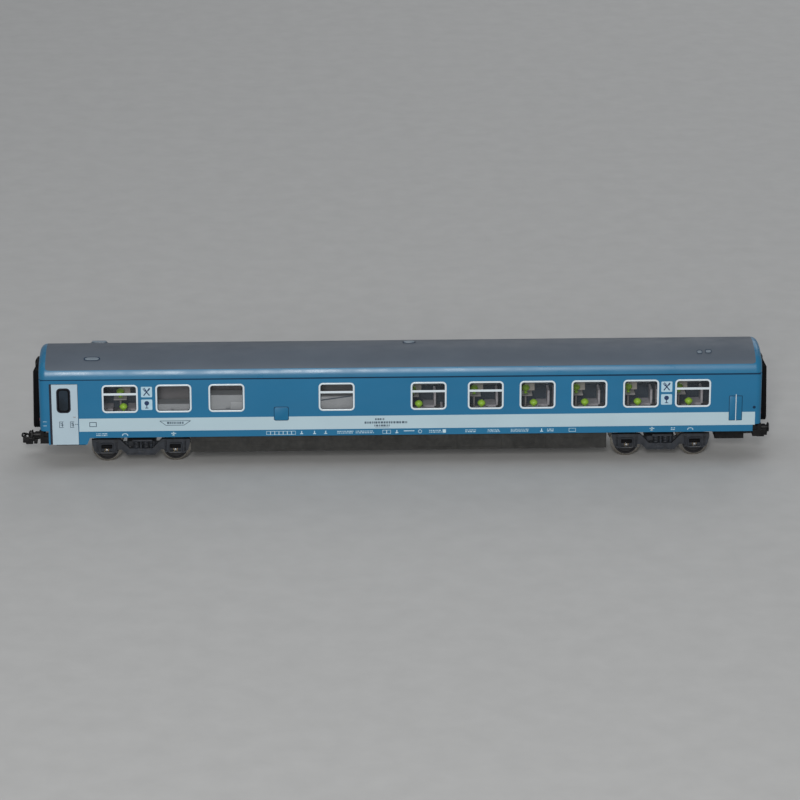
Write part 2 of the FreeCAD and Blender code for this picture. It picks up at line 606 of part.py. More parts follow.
# ---- bogies ----
def wheelset(name, centre):
    """An axle with journals and its two flanged wheels."""
    axle_z = "tread_radius + flange_height"
    shaft = body(f"{name}_axle")
    half = outline(sketch(shaft, "YZ_Plane"), [
        ("0", "0"), ("frame_outer_y - 0.5", "0"), ("frame_outer_y - 0.5", "journal_radius"),
        ("frame_inner_y - 0.35", "journal_radius"), ("frame_inner_y - 0.35", "axle_radius"),
        ("0.35 - frame_inner_y", "axle_radius"), ("0.35 - frame_inner_y", "journal_radius"),
        ("0.5 - frame_outer_y", "journal_radius"), ("0.5 - frame_outer_y", "0")])
    revolve(shaft, half, "H_Axis")
    node(f"{name}_axle", place(shaft, x=centre, z=axle_z))
    wheels = []
    for side in (-1, 1):
        disc = body(f"{name}_wheel_{'near' if side < 0 else 'far'}")
        inner = "wheel_inner_y"
        outer = "wheel_inner_y + wheel_width"
        bore = "axle_radius + 0.005"
        flange = "tread_radius + flange_height"
        profile = [(inner, bore), (inner, "1.7"), (f"{inner} + 0.5", "1.9"),
                   (f"{inner} + 0.5", "3.0"), (inner, "3.1"), (inner, f"{flange} - 0.3"),
                   (f"{inner} + 0.15", flange), (f"{inner} + 0.35", flange),
                   (f"{inner} + flange_width + 0.1", "tread_radius"),
                   (outer, "tread_radius - 0.07"), (outer, "3.15"), (f"{outer} - 0.4", "3.05"),
                   (f"{outer} - 0.45", "1.8"), (outer, "1.5"), (outer, bore)]
        points = [(f"{side} * ({across})", up) for across, up in profile]
        revolve(disc, outline(sketch(disc, "YZ_Plane"), points), "H_Axis")
        wheels.append(place(disc, x=centre, z=axle_z))
    node(f"{name}_wheels", group(*wheels))


def side_frame(owner, side):
    """One side frame: axlebox ends joined by a beam that dips in the middle."""
    edge = [("frame_half_length", "frame_top_z"), ("6.3", "frame_top_z"), ("3.5", "5.3")]
    low = [("4.2", "frame_bottom_z"), ("5.9", "4.9"), ("7.2", "4.9"), ("8.4", "3.7"),
           ("13.2", "3.7"), ("14.3", "4.7"), ("frame_half_length", "7.0")]
    right = list(edge)
    left = [(f"-({a})", b) for a, b in reversed(edge)]
    lower_left = [(f"-({a})", b) for a, b in reversed(low)]
    points = right + left + lower_left + low
    shape = outline(sketch(owner, "XZ_Plane", side_offset(side, "frame_outer_y")), points)
    pad(owner, shape, "frame_outer_y - frame_inner_y", backward=side < 0)


def bogie(name, end):
    """H-shaped frame, spring groups, axlebox covers, bearings, brake gear and two wheelsets."""
    centre = f"{end} * pivot_x"
    axle_z = "tread_radius + flange_height"
    frame = body(f"{name}_bogie_frame")
    for side in (-1, 1):
        frame.AllowCompound = True
        side_frame(frame, side)
    cross = rounded(sketch(frame, "XY_Plane", "transom_low_z"),
                    ("-3.3", "-frame_inner_y - 0.2"), ("3.3", "frame_inner_y + 0.2"), "0.15")
    pad(frame, cross, "5.2 - transom_low_z")
    bolster = rounded(sketch(frame, "XY_Plane", "5.0"), ("-transom_half_length", "-6.6"),
                      ("transom_half_length", "6.6"), "0.8")
    pad(frame, bolster, "transom_high_z - 5.0")
    pivot = sketch(frame, "XY_Plane", "transom_high_z")
    pivot.addGeometry(Part.Circle(Vector(), Vector(0, 0, 1), value_of("pivot_pad_radius")))
    index = pivot.addConstraint(Sketcher.Constraint("Radius", 0, value_of("pivot_pad_radius")))
    pivot.setExpression(f"Constraints[{index}]", bound("pivot_pad_radius"))
    pivot.addConstraint(Sketcher.Constraint("Coincident", 0, 3, -1, 1))
    pad(frame, pivot, "frame_top_z - transom_high_z")
    bore = sketch(frame, "XY_Plane", "frame_top_z + 1")
    hole_radius = "pivot_radius + pivot_clearance"
    bore.addGeometry(Part.Circle(Vector(), Vector(0, 0, 1), value_of(hole_radius)))
    index = bore.addConstraint(Sketcher.Constraint("Radius", 0, value_of(hole_radius)))
    bore.setExpression(f"Constraints[{index}]", bound(hole_radius))
    bore.addConstraint(Sketcher.Constraint("Coincident", 0, 3, -1, 1))
    pocket(frame, bore, "8")
    for side in (-1, 1):
        for x in ("-wheelbase / 2", "wheelbase / 2"):
            seat = sketch(frame, "XZ_Plane", side_offset(side, "frame_inner_y - 0.2"))
            middle = Vector(value_of(x), value_of(axle_z), 0)
            seat.addGeometry(Part.Circle(middle, Vector(0, 0, 1), 0.95))
            for kind, expression in (("DistanceX", x), ("DistanceY", axle_z)):
                number = seat.addConstraint(
                    Sketcher.Constraint(kind, -1, 1, 0, 3, value_of(expression)))
                seat.setExpression(f"Constraints[{number}]", bound(expression))
            pocket(frame, seat, "frame_outer_y - frame_inner_y - slot_depth + 0.25", backward=side < 0)
            slot = sketch(frame, "XZ_Plane", side_offset(side, "frame_outer_y - slot_depth"))
            outline(slot, [(f"{x} - 1.75", "4.2"), (f"{x} + 1.75", "4.2"), (f"{x} + 1.75", "6.8"),
                           (f"{x} - 1.75", "6.8")])
            pocket(frame, slot, "1", backward=side < 0)
    node(f"{name}_bogie_frame", place(frame, x=centre))

    cups, covers, springs, brakes = [], [], [], []
    for side in (-1, 1):
        for x in (f"{centre} - wheelbase / 2", f"{centre} + wheelbase / 2"):
            inner = "frame_inner_y + 0.01"
            depth = "frame_outer_y - frame_inner_y - slot_depth - 0.05"
            start = inner if side > 0 else f"-({inner} + {depth})"
            cup = cylinder("0.93", depth, x, start, axle_z, "y")
            hole_start = "frame_inner_y - 1" if side > 0 else "-(frame_inner_y + 2)"
            hole = cylinder("journal_radius + journal_clearance", "3", x, hole_start, axle_z, "y")
            cups.append(cut(cup, hole))
            face = ("frame_outer_y + 0.01", "frame_outer_y + 0.46")
            face = face if side > 0 else (f"-({face[1]})", f"-({face[0]})")
            plate = box((f"{x} - 2.15", f"{x} + 2.15"), face, ("3.75", "7.1"))
            window = box((f"{x} - 1.75", f"{x} + 1.75"), ("-20", "20"), ("4.2", "6.8"))
            covers.append(cut(plate, window))
            for shift in ("-2.9", "2.9"):
                low, high = "frame_outer_y + 0.01", "frame_outer_y + 0.6"
                span = (low, high) if side > 0 else (f"-({high})", f"-({low})")
                covers.append(box((f"{x} + {shift} - 0.35", f"{x} + {shift} + 0.35"), span,
                                  ("4.4", "7.9")))
        y = f"{side} * (frame_outer_y - 0.55)"
        for shift in ("-1.45", "1.45"):
            for turn in range(4):
                springs.append(cylinder("0.95", "0.46", f"{centre} + {shift}", y,
                                        f"5.32 + {turn} * 0.72"))
            springs.append(cylinder("0.6", "2.4", f"{centre} + {shift}", y, "5.31"))
        springs.append(cylinder("0.4", "2.4", f"{centre} + 3.05", y, "5.5"))
        cap = ("frame_outer_y - 1.5", "frame_outer_y + 0.3")
        cap = cap if side > 0 else (f"-({cap[1]})", f"-({cap[0]})")
        springs.append(box((f"{centre} - 2.6", f"{centre} + 3.5"), cap, ("7.55", "8.05")))
    spring_sets = [fuse(*springs[0:12]), fuse(*springs[12:24])]
    for side in (-1, 1):
        for x_end in (-1, 1):
            block_y = ("6.0", "6.9") if side > 0 else ("-6.9", "-6.0")
            x = f"{centre} + {x_end} * 5.0"
            brakes.append(box((f"{x} - 0.35", f"{x} + 0.35"), block_y, ("4.0", "6.55")))
            web = (f"{centre} + 4.42", f"{x} + 0.1") if x_end > 0 else (f"{x} - 0.1", f"{centre} - 4.42")
            brakes.append(box(web, block_y, ("5.6", "6.4")))
    node(f"{name}_bearing_cups", group(*cups))
    node(f"{name}_axlebox_covers", group(*covers))
    node(f"{name}_bogie_springs", group(*spring_sets))
    node(f"{name}_brake_blocks", group(*[fuse(*brakes[k:k + 2]) for k in range(0, 8, 2)]))
    outer, inner = (-1, 1) if end < 0 else (1, -1)
    wheelset(f"{name}_outer", f"{centre} + {outer} * wheelbase / 2")
    wheelset(f"{name}_inner", f"{centre} + {inner} * wheelbase / 2")


# ---- couplings ----
def coupling(name, end, drawn_out):
    """Guide under the floor, swinging drawbar, sliding coupler shank with its head, and the bail."""
    def along(low, high):
        """The pair of x expressions from low to high, measured outwards at this end."""
        return (low, high) if end > 0 else (f"-({high})", f"-({low})")

    wide = ("-guide_half_width", "guide_half_width")
    top = box(along("guide_inner_x", "guide_outer_x"), wide, ("guide_high_z", "plate_low_z - 0.01"))
    cover = box(along("guide_inner_x", "guide_outer_x"), wide,
                ("guide_low_z", "guide_low_z + guide_cover"))
    walls = [box(along("guide_inner_x", "guide_outer_x"), span, ("guide_low_z", "guide_high_z + 0.1"))
             for span in (("-guide_half_width", "guide_wall - guide_half_width"),
                          ("guide_half_width - guide_wall", "guide_half_width"))]
    pin = cylinder("swing_pin_radius", "guide_high_z - guide_low_z", f"{end} * swing_x", "0",
                   "guide_low_z")
    node(f"{name}_coupler_guide", fuse(top, cover, *walls, pin))

    height = "drawbar_high_z - drawbar_low_z"
    ring = cylinder("drawbar_ring_radius", height, f"{end} * swing_x", "0", "drawbar_low_z")
    bar = box(along("swing_x", "drawbar_end_x"), ("-drawbar_half_width", "drawbar_half_width"),
              ("drawbar_low_z", "drawbar_high_z"))
    hole = cylinder("swing_pin_radius + swing_clearance", "8", f"{end} * swing_x", "0", "2")
    slot = box(along("slot_inner_x", "drawbar_end_x + 1"),
               ("-shank_half_width - shank_fit", "shank_half_width + shank_fit"),
               ("shank_low_z - shank_fit", "shank_high_z + shank_fit"))
    node(f"{name}_drawbar", cut(fuse(ring, bar), hole, slot))

    base = "head_base_x + coupler_travel" if drawn_out else "head_base_x"
    shank = box(along(f"{base} - 7", f"{base} + 0.2"), ("-shank_half_width", "shank_half_width"),
                ("shank_low_z", "shank_high_z"))
    block = box(along(base, f"{base} + 2.2"), ("-1.3", "1.3"), ("5.0", "7.0"))
    nose = box(along(f"{base} + 2.0", f"{base} + head_length - 1.2"), ("-0.55", "0.55"),
               ("5.2", "6.6"))
    hook = box(along(f"{base} + head_length - 1.7", f"{base} + head_length - 0.9"),
               ("-0.55", "0.55"), ("5.2", "7.3"))
    pivot = cylinder("0.3", "3.6", f"{end} * ({base} + 1.2)", "-1.8", "6.0", "y")
    node(f"{name}_coupler_head", fuse(shank, block, nose, hook, pivot))

    arms = []
    for side in (-1, 1):
        span = ("1.38", "1.78") if side > 0 else ("-1.78", "-1.38")
        arm = box(along(f"{base} + 0.5", f"{base} + head_length"), span, ("5.6", "6.4"))
        tail = box(along(f"{base} + 0.1", f"{base} + 1.2"), span, ("4.4", "6.2"))
        eye = cylinder("0.36", "1", f"{end} * ({base} + 1.2)", span[0], "6.0", "y")
        arms.append(cut(fuse(arm, tail), eye))
    loop = box(along(f"{base} + head_length - 0.5", f"{base} + head_length"), ("-1.78", "1.78"),
               ("5.6", "6.4"))
    node(f"{name}_coupler_bail", fuse(*arms, loop))


# ---- interior ----
def interior():
    """Floor with partitions, kitchen units, seats, tables and table lamps."""
    floor = box(("-107.8", "107.8"), ("-floor_half_width", "floor_half_width"),
                ("plate_high_z + 0.01", "floor_top_z"))
    walls = [box((f"{x} - partition_thick / 2", f"{x} + partition_thick / 2"),
                 ("-floor_half_width", "floor_half_width"), ("floor_top_z - 0.1", "partition_top_z"))
             for x in PARTITIONS]
    doorways = [box((f"{x} - 1", f"{x} + 1"), ("-2.9", "2.9"), ("floor_top_z", "25")) for x in PARTITIONS]
    aisle = box(("-77.6", "-11.6"), ("3.4", "3.9"), ("floor_top_z - 0.1", "partition_top_z"))
    node("interior_floor", cut(fuse(floor, *walls, aisle), *doorways))
    units = []
    for low, high, near, far, top in ((-76.4, -63.0, -10.2, -5.6, "counter_top_z"),
                                      (-61.6, -46.2, -10.2, -5.6, "22.4"),
                                      (-44.8, -28.6, -10.2, -4.4, "26.2"),
                                      (-27.2, -13.2, -10.2, -5.6, "21.6")):
        units.append(box((low, high), (near, far), ("floor_top_z + 0.01", top)))
    units.append(box(("-10.0", "-4.4"), ("-10.2", "-6.4"), ("floor_top_z + 0.01", "18.6")))
    units.append(box(("-10.0", "-4.4"), ("6.4", "10.2"), ("floor_top_z + 0.01", "18.6")))
    node("kitchen_units", group(*units))
    seats, tables, lamps = [], [], []
    for table_x, reach in TABLES:
        for side in (-1, 1):
            x = f"{table_x}" if side < 0 else f"({table_x} - far_table_shift)"

            def across(low, high, side=side):
                """The pair of y expressions from low to high, measured outwards on this side."""
                return (low, high) if side > 0 else (f"-({high})", f"-({low})")
            for facing in (-1, 1):
                start = f"{x} + {facing} * ({reach} - seat_depth)"
                end_x = f"{x} + {facing} * {reach}"
                cushion_x = (start, end_x) if facing > 0 else (end_x, start)
                cushion = box(cushion_x, across("seat_inner_y", "seat_outer_y"),
                              ("seat_top_z - 0.9", "seat_top_z"))
                foot_x = (f"{start} + 0.6", f"{end_x} - 0.6")
                foot_x = foot_x if facing > 0 else (f"{end_x} + 0.6", f"{start} - 0.6")
                foot = box(foot_x, across("seat_inner_y + 0.8", "seat_outer_y - 0.8"),
                           ("floor_top_z + 0.01", "seat_top_z - 0.8"))
                back_x = (f"{end_x} - seat_back_thick", end_x)
                back_x = back_x if facing > 0 else (end_x, f"{end_x} + seat_back_thick")
                back = box(back_x, across("seat_inner_y", "seat_outer_y"),
                           ("seat_top_z - 0.2", "seat_back_top_z"))
                seats.append(fuse(cushion, foot, back))
            board = box((f"{x} - table_half_length", f"{x} + table_half_length"),
                        across("seat_inner_y + 0.2", "seat_outer_y"),
                        ("table_top_z - table_thick", "table_top_z"))
            post = cylinder("0.35", "table_top_z - 0.1 - floor_top_z", f"{x}", f"{side} * 7.0",
                            "floor_top_z + 0.01")
            tables.append(fuse(board, post))
            stem = cylinder("0.55", "0.9", f"{x}", f"{side} * lamp_y", "table_top_z + 0.01")
            shade = cone("0.75", "lamp_radius", "1.1", f"{x}", f"{side} * lamp_y",
                         "table_top_z + 0.5")
            crown = cone("lamp_radius", "0.6", "lamp_height - 1.6", f"{x}", f"{side} * lamp_y",
                         "table_top_z + 1.6")
            lamps.append(fuse(stem, shade, crown))
    node("dining_seats", group(*seats))
    node("dining_tables", group(*tables))
    node("table_lamps", group(*lamps))


# ---- small fittings ----
def fittings():
    """Raised hatches on the sides, handrails, and the lamps on both ends."""
    hatches, rails = [], []
    for side in (-1, 1):
        def across(low, high, side=side):
            """The pair of y expressions from low to high, measured outwards on this side."""
            return (low, high) if side > 0 else (f"-({high})", f"-({low})")
        face = "body_half_width + 0.01"
        hatches.append(box(("99.51", "103.57"), across(face, "body_half_width + 0.09"),
                           ("13.15", "21.06")))
        if side < 0:
            hatches.append(box(("-38.65", "-34.13"), across(face, "body_half_width + 0.09"),
                               ("14.6", "19.01")))
        rails.append(cylinder("0.13", "8.4", "101.6", f"{side} * (body_half_width + 0.26)", "13.2"))
        for z in ("13.5", "21.2"):
            rails.append(box(("101.5", "101.7"), across("body_half_width + 0.1",
                                                        "body_half_width + 0.2"),
                             (z, f"{z} + 0.2")))
    node("side_hatches", group(*hatches))
    node("handrails", group(fuse(*rails[0:3]), fuse(*rails[3:6])))
    lamps = []
    for end in (-1, 1):
        for y in (-8.3, 8.3):
            start = "body_half_length + 0.01" if end > 0 else "-(body_half_length + 0.31)"
            lamps.append(cylinder("0.75", "0.3", start, f"{y}", "14.6", "x"))
    node("tail_lamps", group(*lamps))


body_shell()
roof()
roof_vents()
windows(-1, NEAR_WINDOWS)
windows(1, FAR_WINDOWS)
doors()
bellows("front", -1)
bellows("rear", 1)
underframe()
beams_and_buffers()
underfloor()
interior()
fittings()
bogie("front", -1)
bogie("rear", 1)
coupling("front", -1, drawn_out=True)
coupling("rear", 1, drawn_out=False)

doc.recompute()
for thing in doc.Objects:
    if "Invalid" in thing.State or "Error" in thing.State:
        raise RuntimeError(f"{thing.Name} failed: {thing.State}")
os.makedirs("parts", exist_ok=True)
for label, thing in NODES:
    shape = thing.Shape
    if shape.isNull() or not shape.isValid() or not shape.Solids:
        raise RuntimeError(f"{label} has no sound shape")
    shape.exportStep(f"parts/{label}.step")
    print(f"{label}: {len(shape.Solids)} solids, {shape.Volume:.1f} mm3")
print(len(NODES), "nodes")
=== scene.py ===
import math
import random

import bmesh
import bpy
from mathutils import Matrix, Vector


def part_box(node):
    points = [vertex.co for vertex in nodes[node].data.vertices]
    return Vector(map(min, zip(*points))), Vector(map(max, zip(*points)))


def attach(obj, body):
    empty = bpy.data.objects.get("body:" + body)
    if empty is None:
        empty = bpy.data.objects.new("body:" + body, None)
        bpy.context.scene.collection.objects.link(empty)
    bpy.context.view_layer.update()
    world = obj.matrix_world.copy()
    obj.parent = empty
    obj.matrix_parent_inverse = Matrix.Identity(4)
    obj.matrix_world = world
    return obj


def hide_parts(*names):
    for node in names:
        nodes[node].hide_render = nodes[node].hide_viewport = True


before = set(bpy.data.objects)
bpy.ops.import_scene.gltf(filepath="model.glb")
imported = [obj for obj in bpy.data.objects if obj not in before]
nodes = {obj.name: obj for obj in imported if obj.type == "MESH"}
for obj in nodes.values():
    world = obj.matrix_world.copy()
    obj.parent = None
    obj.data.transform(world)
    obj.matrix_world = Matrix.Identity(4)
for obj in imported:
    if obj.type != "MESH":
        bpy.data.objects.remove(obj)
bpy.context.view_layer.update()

MM = 0.001
SEED = 7
dice = random.Random(SEED)
scene = bpy.context.scene


# ---- camera, floor and light ----
CAMERA_PLACE = Vector((-27.95, -1046.2, 375.94)) * MM
CAMERA_DOWN, CAMERA_TURN, CAMERA_ROLL = (math.radians(a) for a in (18.943, 1.5237, 0.096))
LENS, SENSOR = 162.62, 36.0
SKY_STRENGTH = 0.30
FLOOR_REACH = 4.0      # metres


def place_object(name, data, spot, rotation):
    """Puts a new object in the scene."""
    made = bpy.data.objects.new(name, data)
    scene.collection.objects.link(made)
    made.location = spot
    made.rotation_mode = "QUATERNION"
    made.rotation_quaternion = rotation
    return made


def make_camera():
    """A long lens at the near side, a little above the coach and turned slightly to the right."""
    data = bpy.data.cameras.new("camera")
    data.sensor_width = SENSOR
    data.lens = LENS
    data.clip_start = 0.05
    data.clip_end = 20.0
    level = math.cos(CAMERA_DOWN)
    ahead = Vector((math.sin(CAMERA_TURN) * level, math.cos(CAMERA_TURN) * level,
                    -math.sin(CAMERA_DOWN)))
    spin = Matrix.Rotation(CAMERA_ROLL, 3, ahead).to_quaternion()
    scene.camera = place_object("camera", data, CAMERA_PLACE, spin @ ahead.to_track_quat("-Z", "Y"))


def area_light(name, spot, target, size, power, colour=(1, 1, 1)):
    """A soft rectangular light that points at target."""
    data = bpy.data.lights.new(name, "AREA")
    data.shape = "RECTANGLE"
    data.size, data.size_y = size
    data.energy = power
    data.color = colour
    place_object(name, data, spot, (Vector(target) - Vector(spot)).to_track_quat("-Z", "Y"))


def make_stage():
    """A pale floor, a plain sky and three soft lights."""
    scene.view_settings.view_transform = "Standard"
    world = bpy.data.worlds.new("sky")
    world.use_nodes = True
    set_inputs(world.node_tree.nodes["Background"],
               {"Color": (0.93, 0.96, 1.0, 1), "Strength": SKY_STRENGTH})
    scene.world = world
    area_light("key", (-0.09, -1.25, 0.53), (-0.02, 0, 0.02), (0.24, 0.46), 10.8, (1, 0.99, 0.97))
    area_light("overhead", (-0.1, 0.1, 1.1), (0, 0, 0.02), (1.2, 0.6), 1.6, (0.97, 0.99, 1))
    area_light("back", (0.4, 1.1, 0.7), (0, 0, 0.02), (0.9, 0.6), 2.2)
    mesh = bpy.data.meshes.new("floor")
    square = ((-1, -1), (1, -1), (1, 1), (-1, 1))
    mesh.from_pydata([(x * FLOOR_REACH, y * FLOOR_REACH, 0) for x, y in square], [], [(0, 1, 2, 3)])
    floor = bpy.data.objects.new("floor", mesh)
    scene.collection.objects.link(floor)
    floor.data.materials.append(finish("floor_paper", (0.50, 0.50, 0.495), 0.8, mottle=(0.03, 9)))


# ---- materials ----
DUST = (0.20, 0.18, 0.15)


def set_inputs(node, values):
    """Sets constant values on a node's own sockets."""
    for socket, value in values.items():
        node.inputs[socket].default_value = value


def finish(name, colour, rough, metal=0.0, mottle=(0.06, 9), grain=0.25, grain_size=0.16,
           rough_spread=0.08, coat=0.0, alpha=1.0, dust=0.0, streak=0.0, specular=0.5):
    """Moulded plastic, paint or metal: uneven colour and roughness, a fine grain, settled dust.

    Mottle is a share of the colour and a size; sizes are in millimetres. Streak draws the
    mottling out along the coach.
    """
    made = bpy.data.materials.new(name)
    made.use_nodes = True
    add, link = made.node_tree.nodes.new, made.node_tree.links.new
    shader = made.node_tree.nodes["Principled BSDF"]
    set_inputs(shader, {"Metallic": metal, "Coat Weight": coat, "Coat Roughness": 0.12,
                        "Specular IOR Level": specular, "Alpha": alpha})
    where = add("ShaderNodeTexCoord")
    stretch = add("ShaderNodeMapping")
    stretch.inputs["Scale"].default_value = (1 - 0.9 * streak, 1, 1)
    link(where.outputs["Object"], stretch.inputs["Vector"])

    def noise(width, detail):
        cloud = add("ShaderNodeTexNoise")
        set_inputs(cloud, {"Scale": 1 / (width * MM), "Detail": detail})
        link(stretch.outputs["Vector"], cloud.inputs["Vector"])
        return cloud.outputs["Fac"]

    def spread(source, low, high):
        ranged = add("ShaderNodeMapRange")
        set_inputs(ranged, {"From Min": 0.3, "From Max": 0.7, "To Min": low, "To Max": high})
        link(source, ranged.inputs["Value"])
        return ranged.outputs["Result"]

    def blend(factor, first, second):
        mix = add("ShaderNodeMix")
        mix.data_type = "RGBA"
        link(factor, mix.inputs["Factor"])
        for socket, given in ((mix.inputs[6], first), (mix.inputs[7], second)):
            if isinstance(given, tuple):
                socket.default_value = (*given, 1)
            else:
                link(given, socket)
        return mix.outputs[2]

    share, size = mottle
    dark = tuple(c * (1 - share) for c in colour)
    light = tuple(min(1.0, c * (1 + share)) for c in colour)
    paint = blend(spread(noise(size, 4), 0, 1), dark, light)
    if dust:
        facing = add("ShaderNodeNewGeometry")
        split = add("ShaderNodeSeparateXYZ")
        link(facing.outputs["Normal"], split.inputs["Vector"])
        settled = add("ShaderNodeMath")
        settled.operation = "MULTIPLY_ADD"
        settled.use_clamp = True
        link(split.outputs["Z"], settled.inputs[0])
        settled.inputs[1].default_value = dust * 0.8
        link(spread(noise(1.3, 6), -0.5 * dust, dust), settled.inputs[2])
        paint = blend(settled.outputs["Value"], paint, DUST)
    link(paint, shader.inputs["Base Color"])
    rough_map = spread(noise(size * 0.4, 5), max(0.02, rough - rough_spread),
                       min(1.0, rough + rough_spread))
    link(rough_map, shader.inputs["Roughness"])
    if grain:
        bump = add("ShaderNodeBump")
        set_inputs(bump, {"Strength": grain, "Distance": 0.02 * MM})
        link(noise(grain_size, 3), bump.inputs["Height"])
        link(bump.outputs["Normal"], shader.inputs["Normal"])
    return made


M = {
    "blue": finish("coach_blue", (0.013, 0.150, 0.300), 0.42, mottle=(0.05, 14), grain=0.18,
        streak=0.6, specular=0.35),
    "roof_blue": finish("roof_blue", (0.011, 0.147, 0.288), 0.33, streak=0.6),
    "roof_grey": finish("roof_grey", (0.083, 0.104, 0.133), 0.60, mottle=(0.07, 11), grain=0.35,
        streak=0.5),
    "vent": finish("vent_grey", (0.165, 0.205, 0.245), 0.34, specular=0.4, mottle=(0.08, 2)),
    "stripe": finish("stripe_grey", (0.44, 0.575, 0.64), 0.42, mottle=(0.03, 9), streak=0.6),
    "door": finish("door_grey", (0.42, 0.535, 0.61), 0.42, mottle=(0.03, 5)),
    "white": finish("frame_white", (0.66, 0.74, 0.79), 0.3, mottle=(0.03, 9), coat=0.2, grain=0.1),
    "mark_white": finish("mark_white", (0.50, 0.66, 0.74), 0.5, mottle=(0.15, 0.6)),
    "mark_dark": finish("mark_dark", (0.055, 0.09, 0.13), 0.5, mottle=(0.2, 0.6)),
    "sign": finish("sign_pale", (0.42, 0.60, 0.70), 0.4, mottle=(0.05, 1.5)),
    "sign_ink": finish("sign_ink", (0.006, 0.03, 0.10), 0.4, mottle=(0.1, 1.5)),
    "seal": finish("seal_rubber", (0.006, 0.008, 0.022), 0.5, mottle=(0.15, 2)),
    "rubber": finish("black_rubber", (0.0022, 0.0022, 0.003), 0.6, mottle=(0.3, 2), grain=0.4,
        specular=0.12),
    "under": finish("underframe_black", (0.006, 0.006, 0.007), 0.6, mottle=(0.3, 3), grain=0.4,
        dust=0.03, specular=0.2),
    "fairing": finish("underfloor_grey", (0.026, 0.026, 0.025), 0.66, mottle=(0.25, 4), grain=0.4,
        dust=0.05, specular=0.3),
    "bogie": finish("bogie_grey", (0.022, 0.026, 0.034), 0.5, mottle=(0.3, 1.5), grain=0.5,
        grain_size=0.12, dust=0.05, specular=0.4),
    "coupler": finish("coupler_black", (0.004, 0.004, 0.005), 0.45, mottle=(0.3, 1.5), grain=0.3,
        specular=0.3),
    "steel": finish("bright_steel", (0.62, 0.62, 0.63), 0.28, metal=1.0, mottle=(0.1, 0.8),
        grain=0.15, grain_size=0.08),
    "wheel_face": finish("wheel_face_black", (0.016, 0.016, 0.018), 0.5, mottle=(0.3, 1), grain=0.4,
        specular=0.3),
    # painted light: beige that stands for the bright backdrop seen through the far windows
    "far_window_light": finish("far_window_light_beige", (0.56, 0.52, 0.47), 0.6, mottle=(0.1, 1)),
    "wheel": finish("wheel_steel", (0.34, 0.32, 0.29), 0.30, metal=1.0, mottle=(0.25, 1.2),
        grain=0.3, dust=0.06),
    "brass": finish("bearing_brass", (0.72, 0.52, 0.26), 0.3, metal=1.0, mottle=(0.1, 0.8)),
    "inside": finish("interior_grey", (0.22, 0.215, 0.225), 0.6, mottle=(0.1, 6)),
    "kitchen": finish("kitchen_grey", (0.32, 0.335, 0.35), 0.5, mottle=(0.1, 5)),
    "seat": finish("seat_grey", (0.52, 0.505, 0.54), 0.6, mottle=(0.15, 1.2), grain=0.6),
    "table": finish("table_grey", (0.36, 0.35, 0.35), 0.4, mottle=(0.12, 3), streak=0.5),
    "lamp": finish("lamp_green", (0.40, 0.72, 0.05), 0.35, mottle=(0.06, 1.2), grain=0.1),
    # navy for dark joints; also used as painted shadow under the roof and round the vent feet
    "seam_and_shade": finish("seam_and_shade_navy", (0.004, 0.024, 0.060), 0.6, mottle=(0.15, 3), specular=0.2),
    # painted shade: the dark of the walls' insides; the kitchen rails share this material
    "wall_shade_and_rails": finish("painted_wall_shade", (0.060, 0.078, 0.100), 0.7, mottle=(0.1, 4), specular=0.2),
    "tail": finish("tail_red", (0.16, 0.006, 0.005), 0.2, mottle=(0.1, 0.5), coat=0.5),
    "glass": finish("window_glass", (0.10, 0.11, 0.12), 0.05, mottle=(0.1, 9), alpha=0.07, grain=0,
        rough_spread=0.02),
    # painted shade and reflection: the door panes are nearly opaque and dark for the shade inside
    # the door, and a strong mottle in their blue stands for reflections
    "door_pane_shade_and_reflection": finish("door_glass_shade_and_reflection", (0.010, 0.018, 0.028), 0.10, mottle=(0.5, 5), alpha=0.97,
        grain=0, rough_spread=0.03, specular=0.4),
}

CAD_FINISH = {
    "body_shell": "blue", "roof": "roof_blue", "glazing_near": "glass",
    "glazing_far": "glass", "entrance_doors": "door", "door_panes": "door_pane_shade_and_reflection",
    "door_seals": "seal", "door_handles": "steel", "gangway_doors": "inside",
    "underframe": "under", "pivot_pins": "steel", "buffer_beams": "under",
    "underfloor_fairings": "fairing", "equipment_box": "fairing", "ballast_bar": "steel",
    "interior_floor": "inside", "kitchen_units": "kitchen", "handrails": "white",
}


def paint_cad():
    """Gives every carried-over CAD node its material."""
    for end, _ in ENDS:
        for part, key in (("bogie_frame", "bogie"), ("bearing_cups", "brass"),
                          ("brake_blocks", "bogie"), ("outer_axle", "steel"),
                          ("inner_axle", "steel"), ("outer_wheels", "wheel"),
                          ("inner_wheels", "wheel"), ("coupler_guide", "under"),
                          ("drawbar", "coupler")):
            CAD_FINISH[f"{end}_{part}"] = key
    for name, key in CAD_FINISH.items():
        nodes[name].data.materials.clear()
        nodes[name].data.materials.append(M[key])


# ---- mesh helpers: every length below is in millimetres ----
WELD = 0.002           # points closer than this are one point
THIN = 0.002           # smallest radius of a turned ring


def extent(node):
    """Lowest and highest corner of a CAD node, in millimetres."""
    low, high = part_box(node)
    return low / MM, high / MM


def islands(node):
    """The separate solids of a CAD node, each a list of points in millimetres."""
    work = bmesh.new()
    work.from_mesh(nodes[node].data)
    bmesh.ops.remove_doubles(work, verts=work.verts, dist=WELD * MM)
    waiting = set(work.verts)
    found = []
    while waiting:
        stack = [waiting.pop()]
        group = []
        while stack:
            vertex = stack.pop()
            group.append(vertex.co / MM)
            for edge in vertex.link_edges:
                other = edge.other_vert(vertex)
                if other in waiting:
                    waiting.discard(other)
                    stack.append(other)
        found.append(group)
    work.free()
    return found


def limits(points):
    """Lowest and highest corner of a list of points."""
    return [Vector([pick(p[k] for p in points) for k in range(3)]) for pick in (min, max)]


def solids(node):
    """Lowest corner, highest corner and points of each solid of a CAD node."""
    for points in islands(node):
        yield (*limits(points), points)


def distances(low, high, axis):
    """Nearest and farthest distance of a box from the coach's middle along an axis."""
    return sorted((abs(low[axis]), abs(high[axis])))


